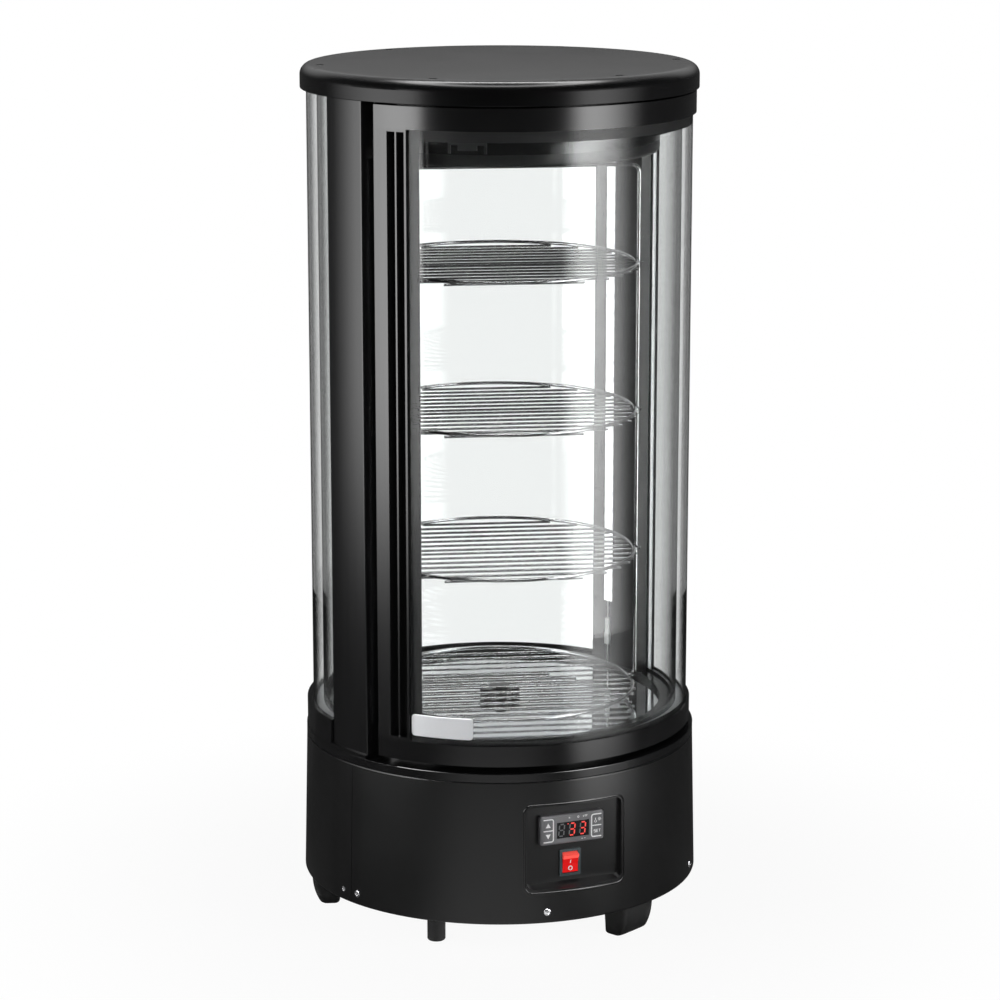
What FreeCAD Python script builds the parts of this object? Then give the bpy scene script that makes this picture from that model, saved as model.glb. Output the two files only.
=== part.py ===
"""Revolving refrigerated glass display cabinet: a round counter-top case.

Frame: millimetres, +Z up, the floor at Z = 0, the cabinet's axis on the Z axis, the door facing -Y.
Azimuths are in degrees seen from above: 0 at the front (-Y), +90 at the right (+X).
"""
import FreeCAD, Part
import math
import os

V = FreeCAD.Vector

# ---------------------------------------------------------------- driving dimensions
# heights, from the floor up
foot_height = 45.0            # floor to the underside of the base pan
skirt_lap = 2.0               # how far the skirt hangs below the base pan
pan_rim_height = 24.0
skirt_height = 165.0
shadow_groove = 1.0           # gap between skirt and collar
ledge_height = 9.5            # low part of the collar, under the door
collar_height = 41.0
post_step = 4.0               # the posts stand this far above the ledge
door_foot_gap = 7.5
door_height = 733.5
door_head_gap = 2.2
lid_height = 26.8
header_height = 53.3
ceiling_height = 13.7
floor_drop = 6.5              # steel floor below the collar's rim

# radii and the steps between them
door_radius = 223.0           # outside of the door frame and of the posts
door_depth = 20.0             # radial depth of the door frame
glass_setback = 4.0           # outer panes behind the door frame's face
lid_overhang = 3.0
collar_proud = 3.0            # collar outside the door frame
ledge_proud = 1.0             # lip of the ledge outside the collar
skirt_flare = 4.0             # the skirt widens this much towards its foot
upstand_gap = 2.6             # door frame to the collar's inner ring
header_gap = 3.0              # door frame to the drum behind its head
ceiling_inset = 2.0
floor_inset = 12.0            # steel floor inside the drum's radius
rack_gap = 30.5               # light covers to a shelf's rim
machine_gap = 8.3             # skirt to the machinery

# walls and clearances
sheet = 2.0                   # pressed and folded sheet metal
moulding = 3.0                # moulded covers
pane = 3.0                    # one sheet of glass
pane_gap = 9.0                # between the two sheets
fit = 0.2                     # clearance between parts that are fixed together
running = 0.06                # radial clearance of a turning pin or shaft
seam = 0.6                    # open joint between the two skirt halves
edge_round = 1.0              # softened outer edges of skirt, collar and lid
lip_round = 0.5               # softened edges of the collar's narrow lip

# door
rail_height_top = 25.0
rail_height_foot = 23.4
rail_rebate = 8.0             # depth of the groove that holds the glass
inner_flange_top = 12.0       # the rail's inner lip hangs lower than its face
inner_flange_foot = 3.5
stile_width = 42.0
handle_gap = 17.5             # open recess between the left post and the door
hinge_gap = 4.5
cap_width = 4.5
groove_width = 22.0           # finger groove of the handle stile
groove_depth = 12.0
groove_lip = 2.4
ridge_width = 2.0
ridge_height = 10.0
spacer_width = 7.5
gasket_gap = 0.3              # closed door: seal to the ring behind it
pin_radius = 4.0
pin_depth = 12.0              # length of hinge pin inside the door
pin_inset = 6.0               # pin axis from the door's hinge edge
pin_radial_inset = 7.0        # pin axis from the door's outer face
shoulder_radius = 7.5

# posts
post_width = 64.0
cover_width = 88.0
cover_depth = 13.0
led_width = 12.0
led_thick = 1.4
led_foot = 77.0               # LED strip starts this far above the collar's rim
led_head = 5.0
led_offset = 5.0              # degrees towards the back from the cover's middle
lead_radius = 0.9             # lead from the strip's foot down to the collar
lead_plug = (6.2, 2.6, 18.0)  # plug on the lead: width, depth, height
lead_socket = (7.4, 3.4, 14.0)
lead_run = 22.0               # bare lead between the strip and its plug

# rotating rack
rim_wire = 4.2
grid_wire = 3.0
grid_pitch = 21.8
grid_edge_gap = 3.0            # least room between the last wire and the rim
grid_overhang = 1.4           # wire ends past the rim
hoop_wire = 5.0
loop_width = 18.0             # middle pair of wires, joined round each post
hoop_corner = 9.5
hoop_drop = 24.0              # top of the hoop below the ceiling
shelf_rise = 17.8             # rim wire of the lowest shelf above the steel floor
shelf_step_low = 163.2        # from the lowest shelf to the one above
shelf_step_middle = 166.1
shelf_step_high = 171.0
rack_yaw = -32.9              # the rack's rest position, degrees about +Z
hub_reach = 16.0              # middle of a lobe from the axis
hub_lobe_radius = 7.5
hub_lobes = 4
hub_height = 10.7
hub_gap = 0.8                 # hub above the steel floor
shaft_radius = 5.0
bearing_radius = 11.0

# feet
block_length = 50.0
block_depth = 28.0
block_taper = 3.0
block_inset = 41.0            # centre of a block foot inside the skirt's foot
block_azimuths = (9.4, 54.8, 189.4, 234.8)
round_foot_radius = 10.5
round_foot_inset = 56.0
round_foot_azimuths = (-64.0, 116.0)

# control panel
panel_azimuth = -17.1
panel_width = 123.0
panel_height = 104.0
panel_foot = 35.0             # lower edge of the recess above the skirt's foot
panel_setback = 13.0          # flat face of the recess behind the skirt's upper edge
panel_corner = 9.0
panel_draft = 2.0
panel_foot_draft = 6.5
case_width = 77.0
case_height = 34.0
case_proud = 8.0
case_drop = 32.5              # centre of the thermostat below the recess's upper edge
case_body_width = 71.0
case_body_height = 28.5
case_body_depth = 55.0
case_bevel = 1.2              # bevelled front edge of the thermostat
window_width = 39.5
window_height = 18.7
window_shift = 0.7            # window to the right of the thermostat's centre
window_drop = 1.2             # and below it
key_width = 10.5
key_height = 11.5
key_pitch = 13.0
key_inset = 8.5               # key centres from the ends of the case
key_stroke = 0.8
control_offset = -2.8         # thermostat and switch sit left of the recess's middle
switch_width = 25.5
switch_height = 31.5
switch_proud = 2.2
switch_rise = 29.5            # centre of the switch above the recess's lower edge
rocker_width = 18.5
rocker_height = 24.0
rocker_tilt = 10.0            # rocker leans this much to either side of level

# fasteners
screw_head_radius = 3.0
screw_shank_radius = 1.6
screw_head_height = 1.4
screw_length = 9.0
skirt_screw_rise = 13.0       # above the skirt's foot
front_screw_azimuths = (-84.5, -26.0, 35.5, 95.0)
rear_screw_azimuths = (101.0, 150.5, 210.5, 269.5)
skirt_seam_azimuths = (-87.0, 98.0)
lid_screw_inset = 22.0
lid_screw_count = 6
lid_screw_radius = 4.5
lid_round = 12.0

# machinery
compressor_radius = 62.0
compressor_height = 122.0
compressor_inset = 43.3       # pot inside the reach of the machinery
compressor_azimuth = -123.1
condenser_size = (130.0, 30.0, 124.0)
condenser_x = 62.0
fan_radius = 54.0
fan_blades = 5
motor_radius = 22.0
motor_length = 34.0
motor_gap = 26.0              # motor to condenser
gearmotor_radius = 30.0
gearmotor_height = 42.0
evaporator_size = (190.0, 70.0, 38.0)
evaporator_gap = 30.8         # coil to the drum

# air slots and mains inlet in the back of the skirt
slot_width = 6.0
slot_height = 42.0
slot_count = 11
slot_pitch = 4.0              # degrees
slot_azimuth = 153.5
slot_rows = (36.0, 92.0)      # lower ends above the skirt's foot
inlet_azimuth = 180.0
inlet_rise = 62.0
inlet_size = (28.0, 20.0)
inlet_depth = 26.0
inlet_wall = 2.5
inlet_flange = 6.0            # how far the flange reaches past the body
inlet_proud = 1.3
pin_pitch = 7.0

# ---------------------------------------------------------------- derived levels and radii
skirt_z0 = foot_height - skirt_lap
skirt_z1 = skirt_z0 + skirt_height
collar_z0 = skirt_z1 + shadow_groove
ledge_z = collar_z0 + ledge_height
collar_z1 = collar_z0 + collar_height
post_z0 = ledge_z + post_step
door_z0 = ledge_z + door_foot_gap
door_z1 = door_z0 + door_height
lid_z0 = door_z1 + door_head_gap
lid_z1 = lid_z0 + lid_height
header_z0 = lid_z0 - header_height
ceiling_z0 = header_z0 - ceiling_height
floor_z = collar_z1 - floor_drop
inlet_z = skirt_z0 + inlet_rise
fan_axis_z = foot_height + sheet + condenser_size[2] / 2

door_inner = door_radius - door_depth
glass_radius = door_radius - glass_setback
lid_radius = door_radius + lid_overhang
collar_radius = door_radius + collar_proud
ledge_radius = collar_radius + ledge_proud
skirt_top_radius = ledge_radius
skirt_foot_radius = skirt_top_radius + skirt_flare
upstand_radius = door_inner - upstand_gap
header_radius = door_inner - header_gap
ceiling_radius = header_radius - ceiling_inset
floor_radius = header_radius - floor_inset
ring_radius = header_radius - cover_depth - rack_gap
grid_side_count = int((ring_radius - loop_width / 2 - grid_edge_gap) / grid_pitch)
panel_face = skirt_top_radius - panel_setback
block_reach = skirt_foot_radius - block_inset
round_foot_reach = skirt_foot_radius - round_foot_inset
lid_screw_reach = lid_radius - lid_screw_inset
machine_reach = skirt_top_radius - machine_gap
condenser_edge = condenser_x + condenser_size[0] / 2
condenser_y = math.sqrt(machine_reach ** 2 - condenser_edge ** 2) - condenser_size[1]
evaporator_reach = header_radius - evaporator_gap
evaporator_edge = evaporator_size[0] / 2
evaporator_y = math.sqrt(evaporator_reach ** 2 - evaporator_edge ** 2) - evaporator_size[1]
outer_pane_inner = glass_radius - pane
inner_pane_outer = outer_pane_inner - pane_gap
inner_pane_inner = inner_pane_outer - pane
channel_inner = inner_pane_inner - fit
channel_outer = glass_radius + fit

# the collar's outer ring rests on the skirt's top flange through small lands
channel_depth = 10.0
top_channel_depth = 6.5


def half_angle(width, radius):
    """Half the azimuth, in degrees, that a chord of this width covers at this radius."""
    return math.degrees(math.asin(width / 2.0 / radius))


def arc_angle(length, radius):
    """Azimuth, in degrees, of an arc of this length at this radius."""
    return math.degrees(length / radius)


post_half = half_angle(post_width, door_radius)
cover_half = half_angle(cover_width, header_radius)
door_left = -(90.0 - post_half - arc_angle(handle_gap, door_radius))
door_right = 90.0 - post_half - arc_angle(hinge_gap, door_radius)
stile_right = door_left + arc_angle(stile_width, door_radius)
pane_left = stile_right + 0.05
pane_right = door_right - 0.4
cap_left = door_right - arc_angle(cap_width, door_radius)
pin_reach = door_radius - pin_radial_inset
pin_azimuth = door_right - arc_angle(pin_inset, pin_reach)
pane_z0 = door_z0 + rail_height_foot - rail_rebate + fit
pane_z1 = door_z1 - rail_height_top + rail_rebate - fit
shelf_rim_z = [floor_z + shelf_rise]
for step in (shelf_step_low, shelf_step_middle, shelf_step_high):
    shelf_rim_z.append(shelf_rim_z[-1] + step)
post_wire_reach = ring_radius + rim_wire / 2 + hoop_wire / 2 + fit


# ---------------------------------------------------------------- shared shapes
def turned(profile, start=0.0, stop=360.0):
    """Closed (radius, height) outline turned about the axis from one azimuth to another."""
    points = [V(r, 0, z) for r, z in profile]
    face = Part.Face(Part.makePolygon(points + points[:1]))
    solid = face.revolve(V(0, 0, 0), V(0, 0, 1), stop - start)
    solid.rotate(V(0, 0, 0), V(0, 0, 1), start - 90.0)
    return solid


def ring(inner, outer, z0, z1, start=0.0, stop=360.0):
    """Ring, or a sector of one, with a plain rectangular section."""
    return turned([(inner, z0), (outer, z0), (outer, z1), (inner, z1)], start, stop)


def block(x0, x1, y0, y1, z0, z1):
    """Rectangular block between two corners."""
    return Part.makeBox(x1 - x0, y1 - y0, z1 - z0, V(x0, y0, z0))


def rod(radius, start, end):
    """Round bar between two points."""
    return Part.makeCylinder(radius, (end - start).Length, start, end - start)


def at_azimuth(shape, azimuth):
    """Shape that was drawn at the front (-Y), moved round the axis to an azimuth."""
    moved = shape.copy()
    moved.rotate(V(0, 0, 0), V(0, 0, 1), azimuth)
    return moved


def around(reach, azimuth, z):
    """Point at a distance from the axis, on an azimuth, at a height."""
    angle = math.radians(azimuth)
    return V(reach * math.sin(angle), -reach * math.cos(angle), z)


def rounded_outline(width, height, corner, place):
    """Rounded rectangle; place maps its flat (u, v) coordinates to a point in space."""
    a, b, r = width / 2.0, height / 2.0, corner
    k = r * (1 - math.sqrt(0.5))
    edges = []
    corners = [(1, 1), (-1, 1), (-1, -1), (1, -1)]
    for i, (su, sv) in enumerate(corners):
        along_v = (su * a, sv * (b - r))
        along_u = (su * (a - r), sv * b)
        middle = (su * (a - k), sv * (b - k))
        first, last = (along_v, along_u) if su * sv > 0 else (along_u, along_v)
        edges.append(Part.Arc(place(*first), place(*middle), place(*last)).toShape())
        nu, nv = corners[(i + 1) % 4]
        next_start = (nu * (a - r), nv * b) if nu * nv < 0 else (nu * a, nv * (b - r))
        edges.append(Part.makeLine(place(*last), place(*next_start)))
    return Part.Wire(edges)


def fused(shapes):
    """One solid from touching shapes."""
    return shapes[0].multiFuse(shapes[1:]).removeSplitter()


def softened(body, radius, z, size):
    """Body with a small round along its level circular edges of one radius and height."""
    edges = [e for e in body.Edges if e.Curve.TypeId == "Part::GeomCircle"
             and abs(e.Curve.Radius - radius) < 1e-3 and abs(e.Curve.Center.z - z) < 1e-3]
    return body.makeFillet(size, edges)


def skirt_outer(z):
    """Outside radius of the tapered skirt at a height."""
    share = (skirt_z1 - z) / skirt_height
    return skirt_top_radius + (skirt_foot_radius - skirt_top_radius) * share


# ---------------------------------------------------------------- base
def base_pan():
    """Round pan that carries the machinery; its turned-up rim takes the skirt screws."""
    rim_top = foot_height + pan_rim_height
    outer_low = skirt_outer(foot_height) - sheet - fit
    outer_high = skirt_outer(rim_top) - sheet - fit
    pan = turned([(0, foot_height), (outer_low, foot_height), (outer_high, rim_top),
                  (outer_high - sheet, rim_top), (outer_low - sheet, foot_height + sheet),
                  (0, foot_height + sheet)])
    return pan.cut(Part.makeCompound(skirt_screw_holes()))


def skirt_screw_line(azimuth):
    """Start and direction of one skirt screw: the skirt's surface and the way inwards."""
    z = skirt_z0 + skirt_screw_rise
    start = around(skirt_outer(z), azimuth, z)
    return start, V(-start.x, -start.y, 0).normalize()


def skirt_screw(azimuth, extra):
    """Countersunk screw, just under the skirt's surface; extra widens it into its hole."""
    start, inward = skirt_screw_line(azimuth)
    start = start + inward * (0.2 - extra)
    shank_radius = screw_shank_radius + extra
    head = Part.makeCone(screw_head_radius + extra, shank_radius, screw_head_height, start, inward)
    shank = rod(shank_radius, start, start + inward * (screw_length + 10 * extra))
    return fused([head, shank])


def skirt_screw_holes():
    """Countersunk clearance holes for all skirt screws."""
    holes = []
    for azimuth in front_screw_azimuths + rear_screw_azimuths:
        start, inward = skirt_screw_line(azimuth)
        mouth = rod(screw_head_radius + fit / 2, start - inward * 3, start + inward * 0.2)
        holes.append(fused([skirt_screw(azimuth, fit / 2), mouth]))
    return holes


def skirt_screws():
    """Countersunk screws through the skirt into the rim of the base pan."""
    return Part.makeCompound([skirt_screw(azimuth, 0)
                              for azimuth in front_screw_azimuths + rear_screw_azimuths])


def skirt_shell(start, stop):
    """One half of the tapered skirt: thin wall, rolled lower edge and a flange on top."""
    roll = 0.9 * skirt_lap
    flange = 14.0
    top = skirt_outer(skirt_z1)
    foot = skirt_outer(skirt_z0)
    outline = [(foot - roll, skirt_z0), (foot - roll * 0.3, skirt_z0 + roll * 0.3),
               (skirt_outer(skirt_z0 + roll), skirt_z0 + roll), (top, skirt_z1),
               (top - flange, skirt_z1), (top - flange, skirt_z1 - sheet),
               (top - sheet, skirt_z1 - sheet), (skirt_outer(skirt_z0 + roll) - sheet, skirt_z0 + roll)]
    gap = arc_angle(seam / 2, skirt_foot_radius)
    shell = softened(turned(outline, start + gap, stop - gap), top, skirt_z1, edge_round)
    return shell.cut(Part.makeCompound(skirt_screw_holes()))


def skirt_front():
    """Front half of the skirt, cut out for the control panel."""
    shell = skirt_shell(skirt_seam_azimuths[0], skirt_seam_azimuths[1])
    return shell.cut(at_azimuth(panel_prism(fit, panel_face - 2 * panel_setback), panel_azimuth))


def skirt_rear():
    """Rear half of the skirt, with two rows of air slots and the opening for the inlet."""
    shell = skirt_shell(skirt_seam_azimuths[1], skirt_seam_azimuths[0] + 360.0)
    cutters = []
    for rise in slot_rows:
        for i in range(slot_count):
            azimuth = slot_azimuth + (i - (slot_count - 1) / 2.0) * slot_pitch
            slot = block(-slot_width / 2, slot_width / 2, -skirt_foot_radius - sheet, -machine_reach,
                         skirt_z0 + rise, skirt_z0 + rise + slot_height)
            cutters.append(at_azimuth(slot, azimuth))
    cutters.append(at_azimuth(inlet_body(fit), inlet_azimuth))
    return shell.cut(Part.makeCompound(cutters))


def inlet_body(extra):
    """Body of the mains inlet, drawn at the front; extra widens it into its own opening."""
    a, b = inlet_size[0] / 2 + extra, inlet_size[1] / 2 + extra
    face = skirt_outer(inlet_z)
    return block(-a, a, -face - 3 * extra, -face + inlet_depth, inlet_z - b, inlet_z + b)


def mains_inlet():
    """Three-pin appliance inlet with a flange on the skirt."""
    face = skirt_outer(inlet_z)
    a, b = inlet_size[0] / 2, inlet_size[1] / 2
    hollow_a, hollow_b = a - inlet_wall, b - inlet_wall
    front = -face - inlet_proud
    flange = block(-a - inlet_flange, a + inlet_flange, front, -face + sheet,
                   inlet_z - b - inlet_flange / 2, inlet_z + b + inlet_flange / 2)
    body = fused([inlet_body(0), flange.cut(skirt_cone()), block(-a, a, front, -face + sheet,
                                                                 inlet_z - b, inlet_z + b)])
    body = body.cut(block(-hollow_a, hollow_a, front - 1, -face + inlet_depth - 10,
                          inlet_z - hollow_b, inlet_z + hollow_b))
    pins = []
    for x, z in ((-pin_pitch, -2.0), (0.0, 2.0), (pin_pitch, -2.0)):
        pins.append(block(x - 1, x + 1, -face + 2, -face + inlet_depth - 9,
                          inlet_z + z - 2, inlet_z + z + 2))
    return at_azimuth(fused([body] + pins), inlet_azimuth)


def block_feet():
    """Moulded block feet under the base pan, tapered towards the floor."""
    feet = []
    for azimuth in block_azimuths:
        outlines = []
        for z, shrink in ((0.0, block_taper), (foot_height, 0.0)):
            def place(u, v, z=z):
                return V(u, -block_reach + v, z)
            outlines.append(rounded_outline(block_length - 2 * shrink, block_depth - 2 * shrink,
                                            5.0, place))
        feet.append(at_azimuth(Part.makeLoft(outlines, True), azimuth))
    return Part.makeCompound(feet)


def round_feet():
    """Round rubber feet with a softened lower edge."""
    feet = []
    for azimuth in round_foot_azimuths:
        r, soft = round_foot_radius, 2.5
        outline = [V(0, 0, 0), V(r - soft, 0, 0), V(r, 0, soft), V(r, 0, foot_height),
                   V(0, 0, foot_height)]
        bulge = V(r - soft * (1 - math.sqrt(0.5)), 0, soft * (1 - math.sqrt(0.5)))
        edges = [Part.makeLine(outline[0], outline[1]), Part.Arc(outline[1], bulge, outline[2]).toShape()]
        edges += [Part.makeLine(outline[i], outline[(i + 1) % 5]) for i in (2, 3, 4)]
        foot = Part.Face(Part.Wire(edges)).revolve(V(0, 0, 0), V(0, 0, 1), 360)
        foot.translate(around(round_foot_reach, azimuth, 0))
        feet.append(foot)
    return Part.makeCompound(feet)


def collar():
    """Moulded ring at the foot of the glass: ledge under the door, seats for the posts,
    and at the back a channel for the double glazing."""
    body = turned([(floor_radius + fit, collar_z0), (ledge_radius, collar_z0), (ledge_radius, ledge_z),
                   (collar_radius, ledge_z), (collar_radius, collar_z1),
                   (floor_radius + fit, collar_z1)])
    body = softened(body, collar_radius, collar_z1, edge_round)
    body = softened(body, ledge_radius, ledge_z, lip_round)
    body = softened(body, ledge_radius, collar_z0, lip_round)
    post = post_half + arc_angle(fit, door_radius)
    front = 90.0 - post_half
    cutters = [ring(upstand_radius, ledge_radius + 1, ledge_z, collar_z1 + 1, -front, front)]
    for side in (-90.0, 90.0):
        cutters.append(ring(header_radius - fit, ledge_radius + 1, post_z0, collar_z1 + 1,
                            side - post, side + post))
    cutters.append(ring(channel_inner, channel_outer, collar_z1 - channel_depth, collar_z1 + 1,
                        90.0 + post_half, 270.0 - post_half))
    cutters.append(hinge_pin_rod(collar_z0 - 1, pin_radius + fit / 2))
    return body.cut(Part.makeCompound(cutters))


def hinge_pin_rod(z0, radius):
    """Vertical bore below the door on the hinge axis."""
    return rod(radius, around(pin_reach, pin_azimuth, z0), around(pin_reach, pin_azimuth, ledge_z + 1))


def collar_lands():
    """Short ring between the skirt's flange and the collar, set back to leave a shadow line."""
    return ring(skirt_top_radius - 13.0, skirt_top_radius - 3.0, skirt_z1, collar_z0)


def floor_insulation():
    """Foam floor of the chamber with the hole for the bearing."""
    body = ring(0, floor_radius, collar_z0, floor_z - sheet)
    return body.cut(rod(bearing_radius, V(0, 0, collar_z0 - 1), V(0, 0, floor_z)))


def floor_plate():
    """Mirror-bright steel floor of the chamber."""
    plate = ring(0, floor_radius, floor_z - sheet, floor_z)
    return plate.cut(rod(shaft_radius + 2.0, V(0, 0, floor_z - 5), V(0, 0, floor_z + 5)))


def floor_bearing():
    """Plain bush in the foam floor for the rack's shaft."""
    bush = rod(bearing_radius - fit / 2, V(0, 0, collar_z0), V(0, 0, floor_z - sheet - fit / 2))
    return bush.cut(rod(shaft_radius + running, V(0, 0, collar_z0 - 1), V(0, 0, floor_z)))


# ---------------------------------------------------------------- control panel
def panel_prism(extra, depth_from):
    """Rounded prism of the recess, from a distance from the axis out past the skirt."""
    centre_z = skirt_z0 + panel_foot + panel_height / 2

    def place(u, v):
        return V(u, -depth_from, centre_z + v)
    outline = rounded_outline(panel_width + 2 * extra, panel_height + 2 * extra, panel_corner + extra,
                              place)
    return Part.Face(outline).extrude(V(0, -(skirt_foot_radius + 10 - depth_from), 0))


def skirt_cone():
    """Solid body of the skirt's outside, used to trim what ends flush with it."""
    return Part.makeCone(skirt_outer(0), skirt_outer(skirt_z1), skirt_z1)


def control_panel():
    """Moulded recess: flat face set back in the skirt, drafted walls, openings for the controls."""
    back = panel_face - sheet
    tray = panel_prism(0, back).common(skirt_cone())
    centre_z = skirt_z0 + panel_foot + panel_height / 2
    wall = 1.8
    mouth = skirt_foot_radius + 6

    def at_face(u, v):
        return V(u, -panel_face, centre_z + panel_foot_draft / 2 - panel_draft / 2 + v)

    def at_mouth(u, v):
        return V(u, -mouth, centre_z + v)
    face_outline = rounded_outline(panel_width - 2 * wall - 2 * panel_draft,
                                   panel_height - 2 * wall - panel_draft - panel_foot_draft,
                                   panel_corner - wall, at_face)
    mouth_outline = rounded_outline(panel_width - 2 * wall, panel_height - 2 * wall,
                                    panel_corner - wall, at_mouth)
    hollow = Part.makeLoft([face_outline, mouth_outline], True)
    openings = [case_body(fit), switch_body(fit)]
    return at_azimuth(tray.cut(hollow).cut(Part.makeCompound(openings)), panel_azimuth)


def case_z():
    """Height of the thermostat's centre."""
    return skirt_z0 + panel_foot + panel_height - case_drop


def switch_z():
    """Height of the switch's centre."""
    return skirt_z0 + panel_foot + switch_rise


def case_body(extra):
    """Part of the thermostat behind the panel; extra widens it into its opening."""
    a, b = case_body_width / 2 + extra, case_body_height / 2 + extra
    return block(control_offset - a, control_offset + a, -panel_face - extra,
                 -panel_face + case_body_depth, case_z() - b, case_z() + b)


def key_centres():
    """(u, v) centres of the four keys on the thermostat's face, with their names."""
    u = case_width / 2 - key_inset
    v = key_pitch / 2
    return {"key_up": (-u, v), "key_down": (-u, -v), "key_light": (u, v), "key_set": (u, -v)}


def key_block(u, v, extra, front, back):
    """Block at a key's place between two distances from the axis."""
    a, b = key_width / 2 + extra, key_height / 2 + extra
    x, z = control_offset + u, case_z() + v
    return block(x - a, x + a, -front, -back, z - b, z + b)


def window_block(extra, front, back):
    """Block at the display window's place between two distances from the axis."""
    a, b = window_width / 2 + extra, window_height / 2 + extra
    x, z = control_offset + window_shift, case_z() - window_drop
    return block(x - a, x + a, -front, -back, z - b, z + b)


def thermostat_case():
    """Digital thermostat: bevelled face, window recess, key openings and body."""
    face_front = panel_face + case_proud

    def place(u, v):
        return V(control_offset + u, -panel_face, case_z() + v)
    face = Part.Face(rounded_outline(case_width, case_height, 2.5, place)).extrude(V(0, -case_proud, 0))
    rim = [e for e in face.Edges if abs(e.BoundBox.YMax + face_front) < 1e-3]
    body = face.makeChamfer(case_bevel, rim).fuse(case_body(0)).removeSplitter()
    window = window_block(0, face_front + 1, face_front - 3.0)
    wells = [key_block(u, v, fit, face_front + 1, face_front - 4.5) for u, v in key_centres().values()]
    return at_azimuth(body.cut(Part.makeCompound([window] + wells)), panel_azimuth)


def display_window():
    """Dark window over the figures, slightly below the face."""
    face_front = panel_face + case_proud
    return at_azimuth(window_block(-fit / 2, face_front - 0.5, face_front - 3.0), panel_azimuth)


def thermostat_key(name):
    """One rubber key, standing just proud of the face with room to travel behind it."""
    u, v = key_centres()[name]
    face_front = panel_face + case_proud
    key = key_block(u, v, 0, face_front + 0.5, face_front - 4.5 + key_stroke + 0.3)
    return at_azimuth(key, panel_azimuth)


def switch_body(extra):
    """Body of the rocker switch behind the panel; extra widens it into its opening."""
    a, b = switch_width / 2 - 2 + extra, switch_height / 2 - 2 + extra
    return block(control_offset - a, control_offset + a, -panel_face - extra, -panel_face + 26,
                 switch_z() - b, switch_z() + b)


def switch_frame():
    """Bezel and body of the switch with the well that the rocker moves in."""
    def place(u, v):
        return V(control_offset + u, -panel_face, switch_z() + v)
    bezel = Part.Face(rounded_outline(switch_width, switch_height, 1.2, place))
    frame = bezel.extrude(V(0, -switch_proud, 0)).fuse(switch_body(0)).removeSplitter()
    a, b = rocker_width / 2 + 0.4, rocker_height / 2 + 0.6
    well = block(control_offset - a, control_offset + a, -panel_face - 5, -panel_face + 12,
                 switch_z() - b, switch_z() + b)
    return at_azimuth(frame.cut(well), panel_azimuth)


def switch_rocker():
    """Rocker with a shallow V face, at rest with its upper half out."""
    axis_y = -panel_face + 3.0
    a, b = rocker_width / 2, rocker_height / 2
    rise, dip = 7.2, 5.4
    tip, keel = b - 1.4, b * 0.45
    section = [(-b, 0.0), (-tip, rise), (0.0, dip), (tip, rise), (b, 0.0), (keel, -5.0), (-keel, -5.0)]
    points = [V(control_offset - a, axis_y - y, switch_z() + z) for z, y in section]
    rocker = Part.Face(Part.makePolygon(points + points[:1])).extrude(V(2 * a, 0, 0))
    rocker.rotate(V(control_offset, axis_y, switch_z()), V(1, 0, 0), rocker_tilt)
    return at_azimuth(rocker, panel_azimuth)


# ---------------------------------------------------------------- posts, rear glazing, top
def post(side):
    """Hollow aluminium post between collar and top frame, with softened outer corners."""
    body = ring(header_radius, door_radius, post_z0, lid_z0, side - post_half, side + post_half)
    edges = [e for e in body.Edges if abs(e.BoundBox.ZLength - (lid_z0 - post_z0)) < 1e-3
             and math.hypot(e.CenterOfMass.x, e.CenterOfMass.y) > door_radius - 1]
    body = body.makeFillet(2.0, edges)
    inset = arc_angle(moulding, door_radius)
    core = ring(header_radius + moulding, door_radius - moulding, post_z0 - 1, lid_z0 + 1,
                side - post_half + inset, side + post_half - inset)
    return body.cut(core)


def light_cover(side):
    """Channel-shaped cover inside each post; it carries the LED strip."""
    inner = header_radius - cover_depth
    body = ring(inner, header_radius, collar_z1, ceiling_z0, side - cover_half, side + cover_half)
    inset = arc_angle(sheet, header_radius)
    core = ring(inner + sheet, header_radius + 1, collar_z1 - 1, ceiling_z0 + 1,
                side - cover_half + inset, side + cover_half - inset)
    return body.cut(core)


def led_strip(side):
    """Flat LED strip on the cover's inner face, a little towards the back, with the lead that
    runs from its foot through a flat plug and socket down to the collar."""
    outer = header_radius - cover_depth - 0.1
    towards_back = led_offset if side > 0 else -led_offset
    middle = side + towards_back
    strip_foot = collar_z1 + led_foot
    plug_top = strip_foot - lead_run
    socket_top = plug_top - lead_plug[2]

    def flat(width, depth, z0, z1):
        half = half_angle(width, outer)
        return ring(outer - depth, outer, z0, z1, middle - half, middle + half)
    reach = outer - lead_radius
    return fused([flat(led_width, led_thick, strip_foot, ceiling_z0 - led_head),
                  flat(lead_plug[0], lead_plug[1], socket_top, plug_top),
                  flat(lead_socket[0], lead_socket[1], socket_top - lead_socket[2], socket_top),
                  rod(lead_radius, around(reach, middle, collar_z1), around(reach, middle, strip_foot))])


def rear_limits():
    """Azimuths of the ends of the rear panes, butted on the posts."""
    return 90.0 + post_half + arc_angle(fit, door_radius), 270.0 - post_half - arc_angle(fit, door_radius)


def rear_glass(inner, outer):
    """One pane of the fixed rear glazing."""
    start, stop = rear_limits()
    return ring(inner, outer, collar_z1 - channel_depth + fit, lid_z0 + top_channel_depth - fit, start, stop)


def spacer_frame(start, stop, z0, z1):
    """Four-sided spacer between two panes: top and foot arcs and two uprights."""
    inner, outer = inner_pane_outer, outer_pane_inner
    turn = arc_angle(spacer_width, outer)
    bars = [ring(inner, outer, z0, z0 + spacer_width, start, stop),
            ring(inner, outer, z1 - spacer_width, z1, start, stop),
            ring(inner, outer, z0 + spacer_width, z1 - spacer_width, start, start + turn),
            ring(inner, outer, z0 + spacer_width, z1 - spacer_width, stop - turn, stop)]
    return fused(bars)


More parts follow.
